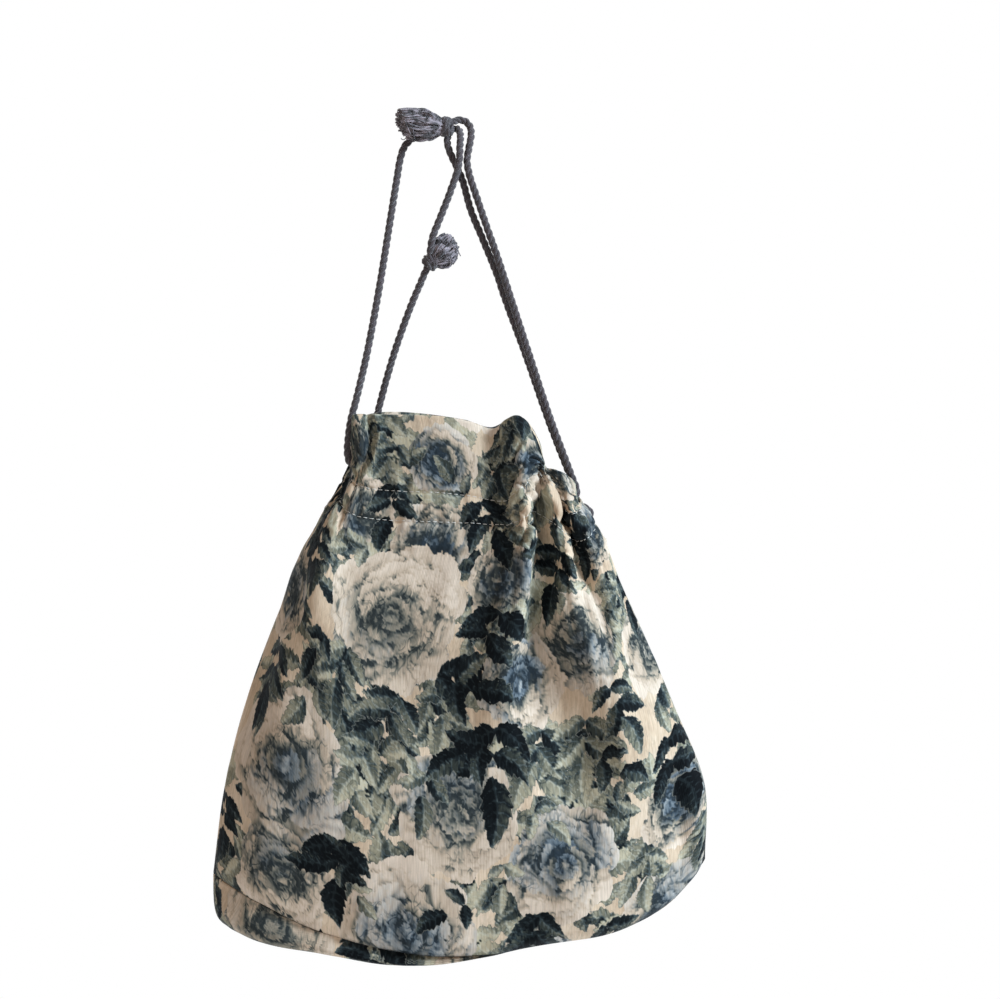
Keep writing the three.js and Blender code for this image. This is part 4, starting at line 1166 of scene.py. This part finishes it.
def yarn_material(name, dark, light, fleck, thread_scale, fleck_share, unevenness, locks):
    """Twisted yarn: fine fibres along each strand, paler flecks, and darker and lighter locks of strands."""
    s = Shader(name)
    along, turn, number = s.parts("strand")
    place = s.node("ShaderNodeCombineXYZ", {0: s.times(along, 0.35), 1: s.times(turn, 3.0),
                                            2: s.times(number, 5.7)}).outputs[0]
    fibres = s.noise(s.scaled(place, (1.0, 3.0, 1.0)), thread_scale, 4.0, 0.65)
    slow = s.noise(place, 0.8, 2.0)
    flecks = s.noise(s.scaled(place, (2.2, 1.0, 1.0)), 3.0, 3.0, 0.7)
    lock = s.noise(s.node("ShaderNodeTexCoord").outputs["Object"], 330.0, 2.0)
    shade = s.add(s.add(s.times(fibres, 1.1), s.times(slow, unevenness)), s.times(lock, locks))
    colour = s.ramp(s.add(shade, 0.45), [(0.15, dark), (0.85, light)])
    colour = s.mix(s.times(s.between(flecks, 0.06, 0.22), fleck_share), colour, fleck)
    lay = s.math("SINE", s.add(s.times(turn, 37.7), s.times(along, 7.0)))
    height = s.add(s.times(lay, 0.35), s.times(fibres, 1.6))
    s.surface_has("Base Color", colour)
    s.surface_has("Roughness", s.between(slow, -0.3, 0.3, 0.78, 0.94))
    s.surface_has("Sheen Weight", 0.3)
    s.surface_has("Sheen Roughness", 0.5)
    s.surface_has("Normal", s.bump(height, 0.00015, 0.8))
    return s.material


cord_yarn = yarn_material("cord_yarn", paint(14, 10, 12), paint(70, 58, 63), paint(154, 142, 147),
                          thread_scale=6.0, fleck_share=0.75, unevenness=0.9, locks=0.4)
tassel_wool = yarn_material("tassel_wool", paint(34, 28, 33), paint(146, 135, 142), paint(202, 192, 198),
                            thread_scale=4.0, fleck_share=0.5, unevenness=1.2, locks=3.2)


def free_cord(name, node, route):
    """A run of twisted cord outside the pouch, from where it leaves its casing, as a mesh of its plies."""
    line = smooth_route(route, CORD_STEP)
    made = tubes(name, plies(line), PLY_RADIUS, 8)
    stand_for(made, node, "dark_cord", cord_yarn)
    tuple(c * MM for c in route[0])
    float(distances_along(line)[-1]) * MM


# The cord in its casing: how far its middle lies behind the cloth's outside, the least distance from there
# to the middle plane, how many columns are evened to either side, and every how many give a point
CORD_BEHIND = 3.6
CORD_LEAST_DEPTH = 2.4
CORD_EVENING = 20
CORD_POINT_EVERY = 12


def casing_route(points, side):
    """The middle of a cord's way through its casing, behind the outside of its panel."""
    line = points[row_at(points, CASING_MIDDLE)]
    width = 2 * CORD_EVENING + 1
    padded = lambda values: np.pad(values, CORD_EVENING, mode="edge")
    evened_out = lambda values: np.convolve(padded(values), np.ones(width) / width, mode="valid")
    depth = padded(side * line[:, 1])
    least = np.array([depth[i:i + width].min() for i in range(len(line))])
    depth = np.maximum(evened_out(least) - CORD_BEHIND, CORD_LEAST_DEPTH)
    route = np.stack([np.maximum.accumulate(line[:, 0]), side * depth, evened_out(line[:, 2])], axis=1)
    return route[CORD_POINT_EVERY:-CORD_POINT_EVERY:CORD_POINT_EVERY]


def hidden_cord(name, node, left, middle, right):
    """The stretch of a cord inside its casing."""
    line = smooth_route([left, *middle, right], CORD_STEP)
    stand_for(tubes(name, plies(line), PLY_RADIUS, 6), node, "dark_cord", cord_yarn)


LEFT_END_IN_KNOT = (-13.6, 0.8, -62.4)
UPPER_KNOT, UPPER_TIP, UPPER_KNOT_RADIUS = np.array([-6.2, -1.2, -2.2]), np.array([-28.0, -4.6, -1.0]), 4.0
LOWER_KNOT, LOWER_TIP, LOWER_KNOT_RADIUS = np.array([-13.2, 0.6, -61.6]), np.array([-2.8, 6.4, -52.4]), 3.2
TUFT_RADIUS = 6.8
NECK_SHARE = 0.8  # of the knot's radius
GOLDEN_ANGLE = 2.39996
STRANDS_PER_LOOSE_THREAD = 9


def directions_of(knot, tip):
    """The direction from a tassel's knot to its tip, and two across it."""
    axis = unit(tip - knot)
    aside = unit(np.cross(axis, [0.2, 0.4, 1.0]))
    return axis, aside, np.cross(axis, aside)


def tassel(name, node, knot, tip, knot_radius, strand_count, seed):
    """A woolly tuft whose strands leave a knot, belly out and end in a blunt cut."""
    random = np.random.default_rng(seed)
    axis, aside, other = directions_of(knot, tip)
    length = np.linalg.norm(tip - knot)
    neck_radius = knot_radius * NECK_SHARE
    lines, radii = [], []
    t = np.linspace(0, 1, 13)
    for k in range(strand_count):
        share = math.sqrt((k + 0.5) / strand_count)
        turn = k * GOLDEN_ANGLE + random.uniform(-0.3, 0.3)
        aim = aside * math.cos(turn) + other * math.sin(turn)
        neck = neck_radius * share
        skirt = TUFT_RADIUS * share * random.uniform(0.9, 1.03)
        reach = length * random.uniform(0.93, 1.04)
        reach = reach * (1 - 0.07 * share**3) * (1 - 0.1 * share * (1 - aim[2]))
        spread = neck + (skirt - neck) * smooth(0.0, 0.5, t)
        spread = spread * (1 - 0.1 * smooth(0.85, 1, t) * share)
        line = knot + axis * (reach * t)[:, None] + aim * spread[:, None]
        for _ in range(2):
            wave = aside * random.uniform(-0.7, 0.7) + other * random.uniform(-0.7, 0.7)
            line = line + wave * (np.sin(np.pi * t * random.uniform(1.5, 4)) * smooth(0, 0.4, t))[:, None]
        lines.append(smooth_route(line, 1.3))
        radii.append(random.uniform(0.3, 0.46))
    for _ in range(strand_count // STRANDS_PER_LOOSE_THREAD):
        turn = random.uniform(0, 2 * np.pi) + np.linspace(0, random.uniform(0.6, 1.8), 9)
        height = np.linspace(0, 1, 9) * random.uniform(-5, 5) + random.uniform(0.1, 0.75) * length
        height = np.clip(height, 0.5, length * 0.9)
        radius = neck_radius + (TUFT_RADIUS - neck_radius) * smooth(0, 0.5, height / length) + 0.35
        line = knot + axis * height[:, None] + turned_to(turn, aside, other) * radius[:, None]
        lines.append(smooth_route(line, 1.0))
        radii.append(random.uniform(0.16, 0.26))
    made = tubes(name, lines, radii, 6)
    stand_for(made, node, "grey_wool", tassel_wool)
    return made


def knot_wraps(name, node, knot, tip, radius):
    """Turns of cord that bind a tassel's neck, over a small ball of the same cord."""
    axis, aside, other = directions_of(knot, tip)
    t = np.linspace(0, 1, 60)
    strands = []
    for shift, tilt, turns, width in ((0.1, 0.0, 2.6, 2.2), (-0.25, 1.1, 1.4, 1.2)):
        tilted = unit(axis + 0.5 * tilt * aside)
        side_a = unit(np.cross(tilted, other))
        ring = turned_to(2 * np.pi * turns * t + tilt, side_a, np.cross(tilted, side_a))
        along = (t - 0.5) * width + shift * radius
        bulge = radius * 0.72 * (1 - 0.12 * np.cos(2 * np.pi * t))
        strands += plies(smooth_route(knot + ring * bulge[:, None] + tilted * along[:, None], 0.6))
    made = tubes(name, strands, PLY_RADIUS * 0.9, 6)
    stand_for(made, node, "dark_cord", cord_yarn)
    return made


upper_tuft = tassel("upper_tuft", "upper_tassel", UPPER_KNOT, UPPER_TIP, UPPER_KNOT_RADIUS, 230, 3)
upper_wraps = knot_wraps("upper_wraps", "upper_tassel", UPPER_KNOT, UPPER_TIP, UPPER_KNOT_RADIUS)
lower_tuft = tassel("lower_tuft", "lower_tassel", LOWER_KNOT, LOWER_TIP, LOWER_KNOT_RADIUS, 200, 4)
lower_wraps = knot_wraps("lower_wraps", "lower_tassel", LOWER_KNOT, LOWER_TIP, LOWER_KNOT_RADIUS)

free_cord("front_cord_left", "front_drawcord", FRONT_LEFT_RUN[::-1])
free_cord("front_cord_right", "front_drawcord", FRONT_RIGHT_RUN)
free_cord("back_cord_left", "back_drawcord", [*BACK_LEFT_RUN[::-1], LEFT_END_IN_KNOT])
free_cord("back_cord_right", "back_drawcord", BACK_RIGHT_RUN)
hidden_cord("front_cord_in_casing", "front_drawcord", FRONT_LEFT_RUN[-1], casing_route(front_points, FRONT),
            FRONT_RIGHT_RUN[0])
hidden_cord("back_cord_in_casing", "back_drawcord", BACK_LEFT_RUN[-1], casing_route(back_points, BACK),
            BACK_RIGHT_RUN[0])


def sewing_thread():
    """Pale cotton thread of the casing stitching."""
    s = Shader("sewing_thread")
    along, turn, number = s.parts("strand")
    twist = s.math("SINE", s.add(s.times(along, 9.0), s.times(turn, 6.283)))
    shade = s.noise(s.node("ShaderNodeCombineXYZ", {0: along, 1: turn, 2: number}).outputs[0], 2.0)
    # The colour follows the twist's relief: painted shade in its grooves and painted highlight on its crests
    s.surface_has("Base Color", s.ramp(s.add(s.add(shade, 0.5), s.times(twist, 0.1)), [
        (0.2, paint(176, 172, 166)), (0.8, paint(224, 220, 212))]))
    s.surface_has("Roughness", 0.6)
    s.surface_has("Normal", s.bump(twist, 0.00005, 0.6))
    return s.material


thread = sewing_thread()

STITCH_LENGTH, STITCH_GAP = 2.1, 0.7
STITCH_MARGIN = 3.0
STITCH_LIFT = 0.12
STITCH_DIP = np.array([-0.35, 0.06, 0.1, 0.06, -0.35])
THREAD_RADIUS = 0.14


def stitching(name, points, normals):
    """Two rows of short stitches over a panel's casing."""
    lines = []
    for place in (FIRST_STITCHING, SECOND_STITCHING):
        row = row_at(points, place)
        path = points[row] + normals[row] * STITCH_LIFT
        distances = distances_along(path)
        start = STITCH_MARGIN
        while start + STITCH_LENGTH < distances[-1] - STITCH_MARGIN:
            at = np.linspace(start, start + STITCH_LENGTH, len(STITCH_DIP))
            away = unit(values_at(at, distances, normals[row]))
            lines.append(values_at(at, distances, path) + away * STITCH_DIP[:, None])
            start += STITCH_LENGTH + STITCH_GAP
    made = tubes(name, lines, THREAD_RADIUS, 5)
    made.data.materials.append(thread)
    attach(made, "root")


stitching("front_stitching", front_points, front_normals)
stitching("back_stitching", back_points, back_normals)


def area_light(name, place, size, power, colour):
    """A soft square lamp that shines at the pouch's middle, with places in metres."""
    data = bpy.data.lights.new(name, "AREA")
    data.shape = "SQUARE"
    data.size = size
    data.energy = power
    data.color = colour
    lamp = bpy.data.objects.new(name, data)
    lamp.location = place
    lamp.rotation_euler = (POUCH_MIDDLE - Vector(place)).to_track_quat("-Z", "Y").to_euler()
    bpy.context.scene.collection.objects.link(lamp)


def background():
    """A plain world that the camera sees as white, and that lights the pouch a little."""
    world = bpy.data.worlds.new("studio")
    bpy.context.scene.world = world
    world.use_nodes = True
    tree = world.node_tree
    tree.nodes.clear()
    out = tree.nodes.new("ShaderNodeOutputWorld")
    mix = tree.nodes.new("ShaderNodeMixShader")
    path = tree.nodes.new("ShaderNodeLightPath")
    seen = tree.nodes.new("ShaderNodeBackground")
    lit = tree.nodes.new("ShaderNodeBackground")
    seen.inputs["Color"].default_value = (1, 1, 1, 1)
    seen.inputs["Strength"].default_value = 1.0
    lit.inputs["Color"].default_value = (1.0, 0.97, 0.94, 1)
    lit.inputs["Strength"].default_value = 0.15
    direct = path.outputs["Is Camera Ray"]
    for ray in ("Is Glossy Ray", "Is Transmission Ray"):
        either = tree.nodes.new("ShaderNodeMath")
        either.operation = "MAXIMUM"
        tree.links.new(direct, either.inputs[0])
        tree.links.new(path.outputs[ray], either.inputs[1])
        direct = either.outputs[0]
    tree.links.new(direct, mix.inputs[0])
    tree.links.new(lit.outputs[0], mix.inputs[1])
    tree.links.new(seen.outputs[0], mix.inputs[2])
    tree.links.new(mix.outputs[0], out.inputs[0])


background()

PHOTO_WIDTH_MM = 440.0
CAMERA_DISTANCE_MM = 900.0
VIEW_CENTRE = (17.6, 0, -166.0)
SENSOR_MM = 36.0

camera = bpy.data.objects.new("camera", bpy.data.cameras.new("camera"))
camera.data.sensor_width = SENSOR_MM
camera.data.lens = SENSOR_MM * CAMERA_DISTANCE_MM / PHOTO_WIDTH_MM
camera.location = (VIEW_CENTRE[0] * MM, -CAMERA_DISTANCE_MM * MM, VIEW_CENTRE[2] * MM)
camera.rotation_euler = (math.pi / 2, 0, 0)
bpy.context.scene.collection.objects.link(camera)
bpy.context.scene.camera = camera

POUCH_MIDDLE = Vector((0, 0, -0.25))
area_light("window", (0.95, -0.42, 0.4), 0.45, 31.5, (0.72, 0.87, 1.0))
area_light("front_fill", (-0.45, -1.0, -0.08), 0.8, 3.7, (1.0, 0.86, 0.74))
area_light("back_light", (-0.5, 0.9, 0.4), 0.8, 11, (1.0, 0.98, 0.96))

FLOOR_SIDES, FLOOR_RADIUS, FLOOR_HEIGHT = 96, 0.6, -0.55  # in metres


def floor():
    """A round pale floor below the pouch, out of the photograph's view."""
    turns = [2 * math.pi * k / FLOOR_SIDES for k in range(FLOOR_SIDES)]
    rim = [(FLOOR_RADIUS * math.cos(t), FLOOR_RADIUS * math.sin(t), FLOOR_HEIGHT) for t in turns]
    mesh = bpy.data.meshes.new("floor")
    mesh.from_pydata(rim, [], [tuple(range(FLOOR_SIDES))])
    made = bpy.data.objects.new("floor", mesh)
    bpy.context.scene.collection.objects.link(made)
    s = Shader("floor_paint")
    s.surface_has("Base Color", (0.9, 0.9, 0.9, 1))
    s.surface_has("Roughness", 0.9)
    made.data.materials.append(s.material)


floor()

bpy.context.scene.view_settings.view_transform = "Standard"
